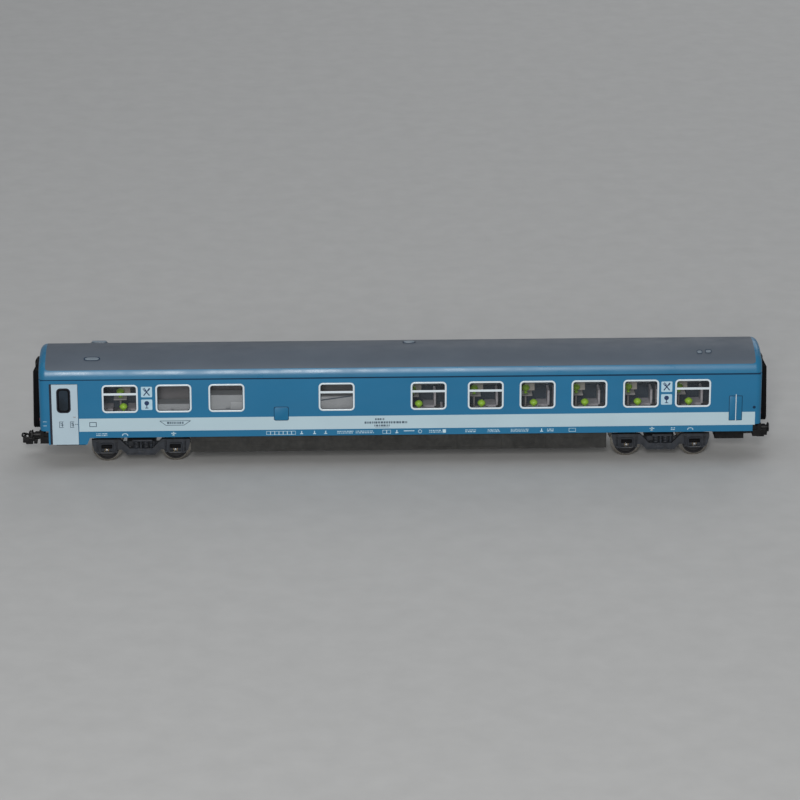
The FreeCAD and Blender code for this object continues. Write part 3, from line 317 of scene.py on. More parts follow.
class Shape:
    """Collects vertices and faces in millimetres and turns them into one riding piece."""

    def __init__(self):
        self.points = []
        self.faces = []

    def add(self, points, faces):
        """Adds points and the faces between them."""
        base = len(self.points)
        self.points += [Vector(p) for p in points]
        self.faces += [[base + k for k in face] for face in faces]

    def rings(self, rows, close_rows=False, cap=True):
        """Skins a list of closed rings that have the same number of points."""
        count = len(rows[0])
        faces = []
        steps = len(rows) if close_rows else len(rows) - 1
        for row in range(steps):
            after = (row + 1) % len(rows)
            for k in range(count):
                turn = (k + 1) % count
                faces.append([row * count + k, row * count + turn, after * count + turn,
                              after * count + k])
        if cap and not close_rows:
            faces.append(list(range(count))[::-1])
            faces.append([(len(rows) - 1) * count + k for k in range(count)])
        self.add([p for row in rows for p in row], faces)

    def lathe(self, profile, centre, along, turns=24, hollow=False):
        """Turns a profile of (distance along, radius) about an axis through centre.

        A hollow one closes the profile on itself and makes a ring.
        """
        axis = Vector(along).normalized()
        side = axis.orthogonal().normalized()
        up = axis.cross(side)
        rows = []
        for travel, radius in profile:
            radius = max(radius, THIN)
            rows.append([Vector(centre) + axis * travel + (side * c + up * s) * radius
                         for c, s in circle(turns)])
        self.rings(rows, close_rows=hollow)

    def tube(self, path, radius, turns=10, closed=False):
        """A round bar along a list of points."""
        path = [Vector(p) for p in path]
        rows = []
        count = len(path)
        guide = None
        for k, point in enumerate(path):
            before = path[k - 1] if (k or closed) else point
            after = path[(k + 1) % count] if (k < count - 1 or closed) else point
            direction = (after - before).normalized()
            if guide is None:
                guide = direction.orthogonal().normalized()
            guide = (guide - direction * guide.dot(direction)).normalized()
            across = direction.cross(guide)
            rows.append([point + (guide * c + across * s) * radius for c, s in circle(turns)])
        self.rings(rows, close_rows=closed)

    def slab(self, corner, opposite, bevel=0.1, steps=2):
        """A box between two opposite corners with rounded edges."""
        work = bmesh.new()
        bmesh.ops.create_cube(work, size=1.0)
        low, high = limits((corner, opposite))
        for vertex in work.verts:
            vertex.co = Vector([low[k] + (vertex.co[k] + 0.5) * (high[k] - low[k])
                                for k in range(3)])
        bmesh.ops.bevel(work, geom=work.edges[:], offset=bevel, segments=steps,
                        affect="EDGES", profile=0.6)
        work.verts.index_update()
        self.add([v.co.copy() for v in work.verts],
                 [[v.index for v in face.verts] for face in work.faces])
        work.free()

    def band(self, low, high, radius, section, side, base, steps=6):
        """A closed band round a rectangle on one side of the coach.

        Each point of its section is an inset from the rectangle and a height above base.
        """
        rows = []
        for inset, rise in section:
            loop = rounded_outline((low.x + inset, low.z + inset),
                                   (high.x - inset, high.z - inset), radius - inset, steps)
            rows.append([(x, side * (base + rise), z) for x, z in loop])
        self.rings(rows, close_rows=True)

    def plate(self, outline, y_back, y_front):
        """A flat plate whose outline is given in x and z, between two y planes."""
        self.rings([[(x, y, z) for x, z in outline] for y in (y_back, y_front)])

    def piece(self, name, key, slot, body="coach", smooth=40, replaces=()):
        """Makes the object in a finish; it rides on a body of the CAD model."""
        mesh = bpy.data.meshes.new(name)
        mesh.from_pydata([p * MM for p in self.points], [], self.faces)
        mesh.update()
        work = bmesh.new()
        work.from_mesh(mesh)
        bmesh.ops.recalc_face_normals(work, faces=work.faces)
        work.to_mesh(mesh)
        work.free()
        mesh.shade_smooth()
        mesh.set_sharp_from_angle(angle=math.radians(smooth))
        mesh.materials.append(M[key])
        made = bpy.data.objects.new(name, mesh)
        scene.collection.objects.link(made)
        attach(made, body)
        if replaces:
            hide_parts(*replaces)


def circle(count):
    """Cosine and sine at evenly spaced angles."""
    angles = [2 * math.pi * k / count for k in range(count)]
    return [(math.cos(a), math.sin(a)) for a in angles]


def rounded_outline(low, high, radius, steps=6):
    """Points of a rectangle with round corners, in x and z, anticlockwise."""
    points = []
    corners = [(high[0] - radius, low[1] + radius, -90), (high[0] - radius, high[1] - radius, 0),
               (low[0] + radius, high[1] - radius, 90), (low[0] + radius, low[1] + radius, 180)]
    for x, z, start in corners:
        for step in range(steps + 1):
            angle = math.radians(start + 90 * step / steps)
            points.append((x + radius * math.cos(angle), z + radius * math.sin(angle)))
    return points


SIDES = (("near", -1), ("far", 1))
ENDS = (("front", -1), ("rear", 1))
BODY_END, HALF_WIDTH, BODY_TOP = extent("body_shell")[1]
SKIN = 0.004           # gap under a printed layer
INK = 0.010            # thickness of a printed layer


# ---- body: printed stripe, signs and markings ----
STRIPE_LOW, STRIPE_HIGH = 11.67, 15.83
STRIPE_FRONT, STRIPE_REAR = -97.6, 107.53
LOWER_MARKS = 9.95     # foot of the marks below the stripe
SIGN_SIZE, SIGN_PLACES = 3.35, (-77.0, 80.45)
FOOD_SIGN, DRINK_SIGN = 24.15, 20.1
SEAM_AND_SHADE = 0.26            # height of the dark strip under the roof, the roof joint with the shadow of the roof's overhang painted in


def printed(shape, outline, side, level=0):
    """Adds a printed patch to the body's side; a higher level lies on top of a lower one."""
    base = HALF_WIDTH + SKIN + level * INK
    shape.plate(outline, side * base, side * (base + INK))


def bar(x0, x1, z0, z1):
    """A rectangle's outline."""
    return [(x0, z0), (x1, z0), (x1, z1), (x0, z1)]


def hollow_bar(shape, x0, x1, z0, z1, line, side, level=0):
    """A printed rectangle of thin lines."""
    printed(shape, bar(x0, x1, z0, z0 + line), side, level)
    printed(shape, bar(x0, x1, z1 - line, z1), side, level)
    printed(shape, bar(x0, x0 + line, z0 + line, z1 - line), side, level)
    printed(shape, bar(x1 - line, x1, z0 + line, z1 - line), side, level)


def dashes(shape, x0, x1, z0, z1, rows, side, level=0, fill=0.46):
    """Rows of short unequal dashes, which stand for small printed lines."""
    pitch = (z1 - z0) / rows
    for row in range(rows):
        z = z0 + pitch * (row + (1 - fill) / 2)
        x = x0
        while x < x1 - 0.15:
            length = dice.uniform(0.22, 0.75)
            printed(shape, bar(x, min(x + length, x1), z, z + pitch * fill), side, level)
            x += length + dice.uniform(0.14, 0.3)


def make_stripe():
    """The pale band under the windows on both sides."""
    for name, side in SIDES:
        band = Shape()
        printed(band, bar(STRIPE_FRONT, STRIPE_REAR, STRIPE_LOW, STRIPE_HIGH), side)
        band.piece(f"stripe_{name}", "stripe", "door_grey")


def knife_and_fork(shape, x, z, side):
    """A crossed knife and fork, 2.4 mm high."""
    handle = [(-0.17, -1.45), (0.17, -1.45), (0.15, 0.4), (-0.15, 0.4)]
    blade = [(-0.15, 0.4), (0.15, 0.4), (0.36, 0.9), (0.2, 1.6), (-0.2, 1.5)]
    fork = [bar(-0.36, 0.36, 0.4, 0.75)]
    fork += [[(t - 0.09, 0.75), (t + 0.09, 0.75), (t + 0.08, 1.55), (t - 0.08, 1.55)]
             for t in (-0.27, 0.0, 0.27)]
    for lean, outlines in ((-1, [handle, *fork]), (1, [handle, blade])):
        tilt = math.radians(38) * lean
        c, s = math.cos(tilt), math.sin(tilt)
        for outline in outlines:
            printed(shape, [(x + u * c + v * s, z - u * s + v * c) for u, v in outline], side, 1)


def stemmed_glass(shape, x, z, side):
    """A glass on a stem, 2.4 mm high."""
    bowl = [(x + 0.72 * c, z + 0.48 + 0.72 * s) for c, s in circle(20)]
    printed(shape, bowl, side, 1)
    printed(shape, bar(x - 0.13, x + 0.13, z - 1.0, z - 0.1), side, 1)
    printed(shape, bar(x - 0.5, x + 0.5, z - 1.2, z - 0.95), side, 1)


def make_signs():
    """Two pairs of square food and drink signs on each side, between the windows."""
    half = SIGN_SIZE / 2
    for name, side in SIDES:
        ground, ink = Shape(), Shape()
        for x in SIGN_PLACES:
            for z, motif in ((FOOD_SIGN, knife_and_fork), (DRINK_SIGN, stemmed_glass)):
                square = rounded_outline((x - half, z - half), (x + half, z + half), 0.3)
                printed(ground, square, side)
                motif(ink, x, z, side)
        ground.piece(f"signs_{name}", "sign", "frame_white")
        ink.piece(f"sign_motifs_{name}", "sign_ink", "seal_rubber")


def make_door_marks(shape):
    """Two small framed marks and two dots on the near entrance door."""
    low, high = extent("entrance_doors")
    face = -distances(low, high, 1)[1] - SKIN
    line, foot, head = 0.16, 13.0, 14.8
    patches = [(x, x + 0.3, 13.9, 14.15) for x in (-98.75, -98.25)]
    for x0, x1 in ((-103.6, -102.3), (-100.3, -99.1)):
        patches += [(x0, x1, foot, foot + line), (x0, x1, head, head + line),
                    (x0, x0 + line, foot, head + line), (x0 + 0.4, x1, 13.75, 13.98),
                    (x1 - 0.42, x1 - 0.2, 13.3, 14.7), (x0 + 0.4, x0 + 0.75, 14.25, 14.55)]
    for patch in patches:
        shape.plate(bar(*patch), face, face - INK)


def arc_of_dots(shape, centre, radii, half, count, turn, side):
    """Small printed squares set on an arc that starts at its left or right end."""
    for step in range(count):
        angle = turn * step
        x = centre[0] + radii[0] * math.cos(angle)
        z = centre[1] + radii[1] * math.sin(angle)
        printed(shape, bar(x - half[0], x + half[0], z - half[1], z + half[1]), side)


def print_lower_band(white, side):
    """Small white marks along the lower edge of the body."""
    low = LOWER_MARKS
    for x0, x1, rows in ((-92.5, -91.0, 2), (-90.7, -89.2, 2), (-19.5, -14.6, 2), (-13.9, -8.4, 2),
                         (8.4, 12.2, 2), (19.4, 22.7, 2), (26.2, 29.9, 3), (33.2, 38.7, 3),
                         (44.3, 46.6, 2), (82.0, 83.5, 2)):
        dashes(white, x0, x1, low + 0.15, low + 1.25, rows, side)
    bars = [(12.5, 13.5, 0.2, 1.3), (0.7, 3.9, 0.8, 1.05)]
    for x in (-69.1, 76.2):
        bars += [(x - 0.75, x + 0.75, 0.75, 1.0), (x - 0.17, x + 0.17, 0.1, 1.35),
                 (x - 0.45, x + 0.3, 0.2, 0.4)]
    for x in (-30.3, -26.4, -23.0, -1.4, 42.6):
        bars += [(x - 0.45, x + 0.45, 0.2, 0.45), (x - 0.14, x + 0.14, 0.45, 1.2)]
    for x0, x1, z0, z1 in bars:
        printed(white, bar(x0, x1, low + z0, low + z1), side)
    for x0, x1, parts in ((-41.0, -32.1, 7), (-5.75, -3.25, 2), (50.9, 53.0, 1)):
        width = (x1 - x0) / parts
        for part in range(parts):
            hollow_bar(white, x0 + part * width, x0 + (part + 1) * width, low + 0.1, low + 1.25,
                       0.11, side)
    for x in (-83.8, 87.9):
        arc_of_dots(white, (x, low + 0.4), (-0.8, 0.55), (0.13, 0.11), 9, math.pi / 8, side)
    arc_of_dots(white, (5.65, low + 0.7), (0.5, 0.5), (0.1, 0.1), 12, math.pi / 6, side)


def print_stripe_marks(dark, side):
    """A frame, a badge outline and rows of dashes on the pale stripe."""
    hollow_bar(dark, -94.5, -92.3, 13.15, 14.7, 0.22, side, 1)
    half_line = 0.09
    badge = [Vector(p) for p in ((-73.2, 14.85), (-63.9, 14.85), (-65.9, 13.45), (-71.4, 13.45))]
    for a, b in zip(badge, badge[1:] + badge[:1]):
        run = (b - a).normalized()
        off = Vector((-run.y, run.x)) * half_line
        printed(dark, [a - off, b - off, b + off, a + off], side, 1)
    for x0, x1, z0, z1, fill in ((-71.0, -66.0, 13.8, 14.6, 0.8), (-8.0, -4.9, 14.25, 15.15, 0.66),
                                 (-11.2, 1.9, 13.15, 14.15, 0.66), (-8.2, -3.6, 12.25, 13.1, 0.66)):
        dashes(dark, x0, x1, z0, z1, 1, side, 1, fill)
    printed(dark, bar(-8.0, -3.8, 12.1, 12.2), side, 1)


def make_markings():
    """Small generic markings on the lower edge, the stripe and the near door."""
    for name, side in SIDES:
        white, dark = Shape(), Shape()
        print_lower_band(white, side)
        print_stripe_marks(dark, side)
        if name == "near":
            make_door_marks(dark)
            for z in (13.6, 14.9):
                printed(white, bar(-108.5, -107.4, z, z + 0.12), side)
        white.piece(f"white_markings_{name}", "mark_white", "frame_white")
        dark.piece(f"dark_markings_{name}", "mark_dark", "seal_rubber")


def make_body_trim():
    """Dark strip under the roof (the joint, with the shadow of the roof's overhang painted in),
    hatch flaps in a dark edge and a small filler cap.
    """
    shade_strip_top = BODY_TOP + SEAM_AND_SHADE
    end = BODY_END - 0.6
    for name, side in SIDES:
        lines = Shape()
        # painted shadow: a dark strip under the roof foot for the joint and the overhang's shadow,
        # thicker towards the rear
        printed(lines, [(-end, shade_strip_top - SEAM_AND_SHADE), (-40, shade_strip_top - 0.40), (end, shade_strip_top - 0.46),
                        (end, shade_strip_top), (-end, shade_strip_top)], side)
        lines.piece(f"roof_seam_and_shade_{name}", "seam_and_shade", "seal_rubber")
    flaps, edges = Shape(), Shape()
    for low, high, _ in solids("side_hatches"):
        side = 1 if low.y + high.y > 0 else -1
        inner, outer = distances(low, high, 1)
        radius = 0.55 if low.x < 0 else 0.15
        for shape, grow, lift in ((edges, 0.0, -0.006), (flaps, -0.13, 0.0)):
            rows = []
            for rise, inset in ((0.0, 0.0), (0.7, 0.0), (1.0, 0.04)):
                loop = rounded_outline((low.x - grow + inset, low.z - grow + inset),
                                       (high.x + grow - inset, high.z + grow - inset), radius)
                level = inner + rise * (outer - inner + lift)
                rows.append([(x, side * level, z) for x, z in loop])
            shape.rings(rows)
    flaps.piece("hatch_flaps", "blue", "blue_paint", replaces=("side_hatches",))
    edges.piece("hatch_edges", "seam_and_shade", "seal_rubber")
    cap = Shape()
    cap.lathe([(0, 0.44), (0.02, 0.46), (0.05, 0.42), (0.06, 0.2)], (107.2, -HALF_WIDTH, 17.3),
              (0, -1, 0), 20)
    cap.piece("filler_cap", "seam_and_shade", "seal_rubber")


# ---- windows ----
FRAME_BAND = 0.55      # width of a window frame
FRAME_CORNER = 1.3
FRAME_SECTION = ((0.0, 0.0), (0.0, 0.6), (0.05, 0.85), (0.14, 1.0), (0.41, 1.0), (0.5, 0.85),
                 (0.55, 0.6), (0.55, 0.0))
GASKET_SECTION = ((0.5, 0.15), (0.5, 0.55), (0.62, 0.45), (0.66, 0.1))


def make_window_frames():
    """White frames with a rounded section; some have a bar under a tilting top light."""
    for name, side in SIDES:
        node = f"window_frames_{name}"
        frames, gaskets = Shape(), Shape()
        for low, high, points in solids(node):
            inner, outer = distances(low, high, 1)
            depth = outer - inner
            for shape, section in ((frames, FRAME_SECTION), (gaskets, GASKET_SECTION)):
                shape.band(low, high, FRAME_CORNER,
                           [(inset, rise * depth) for inset, rise in section], side, inner)
            height = high.z - low.z
            middle = [p.z for p in points
                      if low.z + 0.4 * height < p.z < high.z - 0.25 * height]
            if middle:
                lap = FRAME_BAND * 0.8
                frames.slab((low.x + lap, side * (inner + 0.01), min(middle)),
                            (high.x - lap, side * (outer - 0.02), max(middle)), 0.09)
        frames.piece(f"frames_{name}", "white", "frame_white", replaces=(node,))
        gaskets.piece(f"gaskets_{name}", "seal", "seal_rubber")


# ---- roof ----
ROOF_TOP = extent("roof")[1].z
SHOULDER_RADIUS, RIDGE_RADIUS = 5.0, 20.5
GREY_LOW = 31.0        # height at which the grey of the roof begins
GREY_END = 107.4       # distance from the middle at which it ends


def roof_point(angle_share, lift):
    """Y and z of the roof's outer face at a share -1..1 of its arc, raised along the normal."""
    centre_y = HALF_WIDTH - SHOULDER_RADIUS
    reach = math.sqrt((RIDGE_RADIUS - SHOULDER_RADIUS) ** 2 - centre_y ** 2)
    ridge_z = ROOF_TOP - RIDGE_RADIUS
    meet = math.atan2(centre_y, reach)
    ridge_arc = RIDGE_RADIUS * meet
    shoulder_arc = SHOULDER_RADIUS * (math.pi / 2 - meet)
    travel = abs(angle_share) * (ridge_arc + shoulder_arc)
    sign = 1 if angle_share >= 0 else -1
    if travel <= ridge_arc:
        lean = travel / RIDGE_RADIUS
        radius = RIDGE_RADIUS + lift
        return sign * radius * math.sin(lean), ridge_z + radius * math.cos(lean)
    lean = meet + (travel - ridge_arc) / SHOULDER_RADIUS
    radius = SHOULDER_RADIUS + lift
    return sign * (centre_y + radius * math.sin(lean)), ridge_z + reach + radius * math.cos(lean)


def share_at_height(height):
    """Share of the roof's arc at which its face is at a height."""
    low, high = 0.0, 1.0
    for _ in range(40):
        middle = (low + high) / 2
        if roof_point(middle, 0)[1] > height:
            low = middle
        else:
            high = middle
    return low


def make_roof_paint():
    """The grey top of the roof, a thin painted skin with rounded corners."""
    edge = share_at_height(GREY_LOW)
    steps = 40
    count = steps + 1
    corner = [(GREY_END - 1.2 * (1 - math.cos(a)), 0.06 * (1 - math.sin(a)))
              for a in map(math.radians, (0, 22, 45, 67, 90))]
    spans = [(-x, inset) for x, inset in corner] + corner[::-1]
    points = []
    for lift in (-0.01, 0.012):
        for x, inset in spans:
            limit = edge * (1 - inset)
            points += [(x, *roof_point(limit * (2 * k / steps - 1), lift)) for k in range(count)]
    top = len(spans) * count
    faces = []
    for base in (0, top):
        for r in range(len(spans) - 1):
            for k in range(steps):
                near, far = base + r * count + k, base + (r + 1) * count + k
                faces.append([near, near + 1, far + 1, far])
    last = len(spans) - 1
    rim = [r * count for r in range(last + 1)] + [last * count + k for k in range(1, count)]
    rim += [r * count + steps for r in range(last - 1, -1, -1)] + list(range(steps - 1, 0, -1))
    faces += [[a, b, b + top, a + top] for a, b in zip(rim, rim[1:] + rim[:1])]
    skin = Shape()
    skin.add(points, faces)
    skin.piece("roof_grey_skin", "roof_grey", "roof_paint", smooth=60)


def make_vents():
    """Low ventilator hoods with squared-off rounded plans and a dark ring round each foot, which is
    painted shadow.
    """
    hoods, foot_shade = Shape(), Shape()
    half_width, squareness, count = 0.74, 3.2, 28
    for low, high, points in solids("roof_vents"):
        middle = (low + high) / 2
        length = high.x - low.x
        lean = math.asin(middle.y / RIDGE_RADIUS)
        out = Vector((0, math.sin(lean), math.cos(lean)))
        across = Vector((0, math.cos(lean), -math.sin(lean)))
        base = Vector((middle.x, 0, ROOF_TOP - RIDGE_RADIUS)) + out * RIDGE_RADIUS
        top = max((p - base).dot(out) for p in points)
        rows = []
        for rise, share in ((-0.12, 1.0), (0.10, 1.0), (0.13, 0.93), (0.15, 0.86),
                            (0.5 * top, 0.82), (0.78 * top, 0.72), (0.93 * top, 0.55),
                            (top, 0.3), (top, 0.08)):
            grow = length / 2 - half_width + half_width * share
            row = []
            for c, s in circle(count):
                bulge = (abs(c) ** squareness + abs(s) ** squareness) ** (-1 / squareness)
                row.append(base + Vector((1, 0, 0)) * grow * c * bulge
                           + across * half_width * share * s * bulge + out * rise)
            rows.append(row)
        hoods.rings(rows)
        foot = rows[0]
        centre = (foot[0] + foot[count // 2]) / 2
        # painted shadow: a dark ring round the foot of each hood
        foot_shade.rings([[base + out * rise + (point - centre) * swell for point in foot]
                      for swell, rise in ((1.0, 0.10), (1.1, 0.10), (1.13, 0.19), (1.0, 0.19))],
                     close_rows=True)
    hoods.piece("vent_hoods", "vent", "roof_fitting", smooth=50, replaces=("roof_vents",))
    foot_shade.piece("vent_foot_shade", "seam_and_shade", "seal_rubber")


# ---- ends ----
def make_pane_rims():
    """Black rubber rims round the panes of the entrance doors."""
    rims = Shape()
    section = ((-0.06, -0.05), (-0.06, 0.05), (0.06, 0.09), (0.36, 0.09), (0.46, 0.03),
               (0.46, -0.05))
    for low, high, _ in solids("door_panes"):
        side = 1 if low.y > 0 else -1
        rims.band(low, high, 1.25, section, side, distances(low, high, 1)[1])
    rims.piece("door_pane_rims", "rubber", "seal_rubber")


def make_bellows():
    """Gangway bellows in three folds that lean back at the top."""
    fold, foot = 0.52, 0.24
    for name, end in ENDS:
        low, high = extent(f"{name}_bellows")
        reach = high.x - low.x + 0.25
        crown = high.z if name == "front" else high.z - 0.8
        start = distances(low, high, 0)[0]
        folds = Shape()

        def loop(inset, radius, low=low, high=high, crown=crown):
            """Points in y and z round the gangway."""
            return rounded_outline((low.y + inset, low.z + inset), (high.y - inset, crown - inset),
                                   radius, 8)

        for share in (0.0, 0.5, 1.0):
            path = []
            for y, z in loop(0.56, 1.4):
                lean = min(1.0, max(0.0, (z - crown + 2.6) / 2.2))
                room = reach - 1.05 - 1.25 * lean
                path.append((end * (start + 0.5 + share * room), y, z))
            folds.tube(path, fold, 14, closed=True)
        folds.tube([(end * (start + 0.25), y, z) for y, z in loop(0.3, 1.6)], foot, 10, closed=True)
        folds.piece(f"{name}_bellows_folds", "rubber", "black_rubber", smooth=60,
                    replaces=(f"{name}_bellows",))


def make_buffers():
    """Stepped round buffers."""
    for name, end in ENDS:
        heads = Shape()
        for low, high, _ in solids(f"{name}_buffers"):
            middle = (low + high) / 2
            long = high.x - low.x
            heads.lathe([(0, 1.3), (0.12, 1.42), (0.4, 1.42), (0.5, 1.2), (0.55, 0.98),
                         (long - 1.25, 0.98), (long - 1.2, 0.72), (long - 0.72, 0.72),
                         (long - 0.62, 1.3), (long - 0.5, 1.46), (long - 0.25, 1.48),
                         (long - 0.1, 1.2), (long - 0.02, 0.6), (long, 0.1)],
                        (end * distances(low, high, 0)[0], middle.y, middle.z), (end, 0, 0), 28)
        heads.piece(f"{name}_buffer_pair", "coupler", "buffer_black", replaces=(f"{name}_buffers",))


def make_end_doors():
    """Window frame, kick plate and handle of the gangway doors, and socket boxes beside them."""
    for name, end in ENDS:
        boxes, trim = Shape(), Shape()
        for side in (-1, 1):
            boxes.slab((end * (BODY_END + 0.01), side * 6.3, 12.4),
                       (end * (BODY_END + 0.5), side * 7.6, 13.6), 0.15)
        boxes.piece(f"{name}_socket_boxes", "under", "underframe_black")
        face = BODY_END - 0.2
        back, front = end * (face - 0.06), end * (face + 0.08)
        trim.slab((back, -2.9, 12.6), (front, 2.9, 15.4), 0.05)
        for z0, z1, y0, y1 in ((25.2, 25.5, -1.9, 1.9), (19.2, 19.5, -1.9, 1.9),
                               (19.2, 25.5, -1.9, -1.6), (19.2, 25.5, 1.6, 1.9)):
            trim.slab((back, y0, z0), (front, y1, z1), 0.04)
        trim.tube([(end * (face + 0.1), 2.3, z) for z in (17.4, 18.8)], 0.12, 8)
        trim.piece(f"{name}_gangway_trim", "steel", "gangway_grey")


def make_tail_lamps():
    """Domed red lenses in a rim."""
    lenses = Shape()
    for low, high, _ in solids("tail_lamps"):
        middle = (low + high) / 2
        end = 1 if middle.x > 0 else -1
        lenses.lathe([(0, 0.72), (0.1, 0.75), (0.14, 0.6), (0.2, 0.55), (0.27, 0.35), (0.3, 0.05)],
                     (end * distances(low, high, 0)[0], middle.y, middle.z), (end, 0, 0), 20)
    lenses.piece("tail_lamp_lenses", "tail", "tail_red", replaces=("tail_lamps",))


# ---- couplings ----
def make_couplers():
    """Coupler heads with lugs, nose and claw, each with a bent wire bail on a cross pin."""
    pin_x, pin_z, arm_y = 1.2, 6.0, 1.58
    for name, end in ENDS:
        base = distances(*extent(f"{name}_coupler_bail"), 0)[1] - 5.0
        back = distances(*extent(f"{name}_coupler_head"), 0)[0]
        head, bail = Shape(), Shape()

        def block(shape, x0, x1, y0, y1, z0, z1, bevel, end=end, base=base):
            """A rounded block whose x values are measured outwards from the coupler's base."""
            shape.slab((end * (base + x0), y0, z0), (end * (base + x1), y1, z1), bevel)

        def bent_bar(shape, path, radius, turns, end=end, base=base):
            """A round bar whose x values are measured outwards from the coupler's base."""
            shape.tube([(end * (base + x), y, z) for x, y, z in path], radius, turns)

        for x0, x1, half_y, z0, z1, bevel in (
                (back - base, 0.3, 0.9, 5.6, 6.4, 0.08), (0.0, 2.3, 1.15, 4.9, 7.1, 0.22),
                (0.1, 1.1, 1.15, 4.2, 5.1, 0.15), (2.0, 4.6, 0.62, 4.3, 5.95, 0.2),
                (1.5, 3.7, 0.5, 3.8, 4.8, 0.18)):
            block(head, x0, x1, -half_y, half_y, z0, z1, bevel)
        for side in (-1, 1):
            bent_bar(head, [(x, side * 0.85, z) for x, z in
                            ((1.7, 6.8), (1.75, 7.3), (1.95, 7.6), (2.35, 7.6), (2.55, 7.3),
                             (2.6, 6.4))], 0.26, 10)
            block(head, 2.1, 2.7, side * 0.65, side * 1.15, 5.1, 6.6, 0.12)
        bent_bar(head, [(x, 0, z) for x, z in
                        ((3.0, 5.5), (3.6, 5.3), (3.86, 5.7), (3.88, 6.4), (3.7, 6.9),
                         (3.4, 7.15))], 0.38, 12)
        pin = end * (base + pin_x)
        head.lathe([(-1.8, 0.29), (1.8, 0.29)], (pin, 0, pin_z), (0, 1, 0), 14)
        head.piece(f"{name}_coupler_claw", "coupler", "coupler_black", f"{name}_coupler",
                   replaces=(f"{name}_coupler_head",))
        half = [(pin_x, arm_y, pin_z), (2.4, arm_y, 6.15), (3.6, 1.52, 6.5), (4.3, 1.4, 6.7),
                (4.62, 1.1, 6.75), (4.68, 0.6, 6.78)]
        bent_bar(bail, half + [(x, -y, z) for x, y, z in reversed(half)], 0.32, 12)
        for side in (-1, 1):
            bail.lathe([(-0.2, 0.5), (-0.16, 0.56), (0.16, 0.56), (0.2, 0.5)],
                       (pin, side * arm_y, pin_z), (0, 1, 0), 16)
            block(bail, 0.2, 1.1, side * 1.4, side * 1.76, 4.4, 6.0, 0.1)
        bail.piece(f"{name}_bail_wire", "coupler", "coupler_bail_black", f"{name}_bail",
                   replaces=(f"{name}_coupler_bail",))


# ---- inside ----
def make_furniture():
    """Moulded seats, and table tops with a rounded edge on turned posts."""
    seats, tables = Shape(), Shape()
    seat_z, wall = 13.3, 10.0
    for low, high, points in solids("dining_seats"):
        back = [p.x for p in points if abs(p.y) > wall and p.z > high.z - 0.1]
        facing = 1 if sum(back) / len(back) > (low.x + high.x) / 2 else -1
        front, rear = (low.x, high.x) if facing > 0 else (high.x, low.x)
        seats.slab((front, low.y, seat_z - 0.9), (rear - facing * 0.5, high.y, seat_z), 0.28, 3)
        seats.slab((rear - facing * 0.75, low.y, seat_z - 0.3), (rear, high.y, high.z), 0.25, 3)
        seats.slab((front + facing * 0.7, low.y + 0.8, low.z),
                   (rear - facing * 0.7, high.y - 0.8, seat_z - 0.7), 0.1)
    seats.piece("moulded_seats", "seat", "seat_grey", replaces=("dining_seats",))
    for low, high, points in solids("dining_tables"):
        post = [p for p in points if p.z < low.z + 0.1]
        foot = sum(post, Vector()) / len(post)
        tables.slab((low.x, low.y, high.z - 0.4), high, 0.15, 3)
        tables.lathe([(0, 0.9), (0.12, 0.9), (0.25, 0.4), (0.5, 0.3), (high.z - low.z - 0.3, 0.3)],
                     (foot.x, foot.y, low.z), (0, 0, 1), 16)
    tables.piece("table_tops", "table", "table_tan", replaces=("dining_tables",))


def make_painted_wall_shade():
    """A dark sheet of painted shade on the inside of both walls, open at the windows and at the
    near door.
    """
    low, high = extent("interior_floor")
    end, top = high.x - 0.4, 27.4
    for name, side in SIDES:
        frames = sorted((pair[:2] for pair in solids(f"window_frames_{name}")),
                        key=lambda pair: pair[0].x)
        sill, head = frames[0][0].z + 0.3, frames[0][1].z - 0.3
        start = -96.0 if name == "near" else low.x + 0.4
        panels = [(start, end, low.z + 0.1, sill), (start, end, head, top)]
        edges = [start] + [x for a, b in frames for x in (a.x + 0.4, b.x - 0.4)] + [end]
        panels += [(x0, x1, sill - 0.05, head + 0.05) for x0, x1 in zip(edges[0::2], edges[1::2])
                   if x1 - x0 > 0.5]
        wall_shade_and_rails = Shape()
        for x0, x1, z0, z1 in panels:
            wall_shade_and_rails.slab((x0, side * (HALF_WIDTH - 1.02), z0), (x1, side * (HALF_WIDTH - 0.94), z1),
                        0.03)
        wall_shade_and_rails.piece(f"painted_wall_shade_{name}", "wall_shade_and_rails", "interior_grey")


def make_kitchen_details():
    """Rails and cupboards on the front of the kitchen units."""
    face = min(p.y for points in islands("kitchen_units") for p in points)
    rails, boxes = Shape(), Shape()
    for x0, z0, x1, z1, gap, radius, turns in (
            (-25.6, 20.3, -14.0, 21.9, 0.12, 0.17, 8), (-47.5, 18.2, -60.5, 18.2, 0.06, 0.08, 6),
            (-64.0, 17.9, -75.5, 17.9, 0.06, 0.08, 6)):
        rails.tube([(x0, face - gap, z0), (x1, face - gap, z1)], radius, turns)
    # the rails share the dark material of the painted wall shade
    rails.piece("kitchen_rails", "wall_shade_and_rails", "seal_rubber")
    for x0, x1, z0, z1, proud, bevel, steps in (
            (-51.9, -47.9, 16.5, 20.4, 0.35, 0.3, 3), (-58.2, -53.2, 16.2, 18.6, 0.2, 0.12, 2),
            (-73.9, -69.7, 16.2, 18.7, 0.2, 0.12, 2), (-68.9, -64.7, 16.2, 18.7, 0.2, 0.12, 2)):
        boxes.slab((x0, face - proud, z0), (x1, face + 0.2, z1), bevel, steps)
    boxes.piece("kitchen_cupboards", "kitchen", "interior_grey")


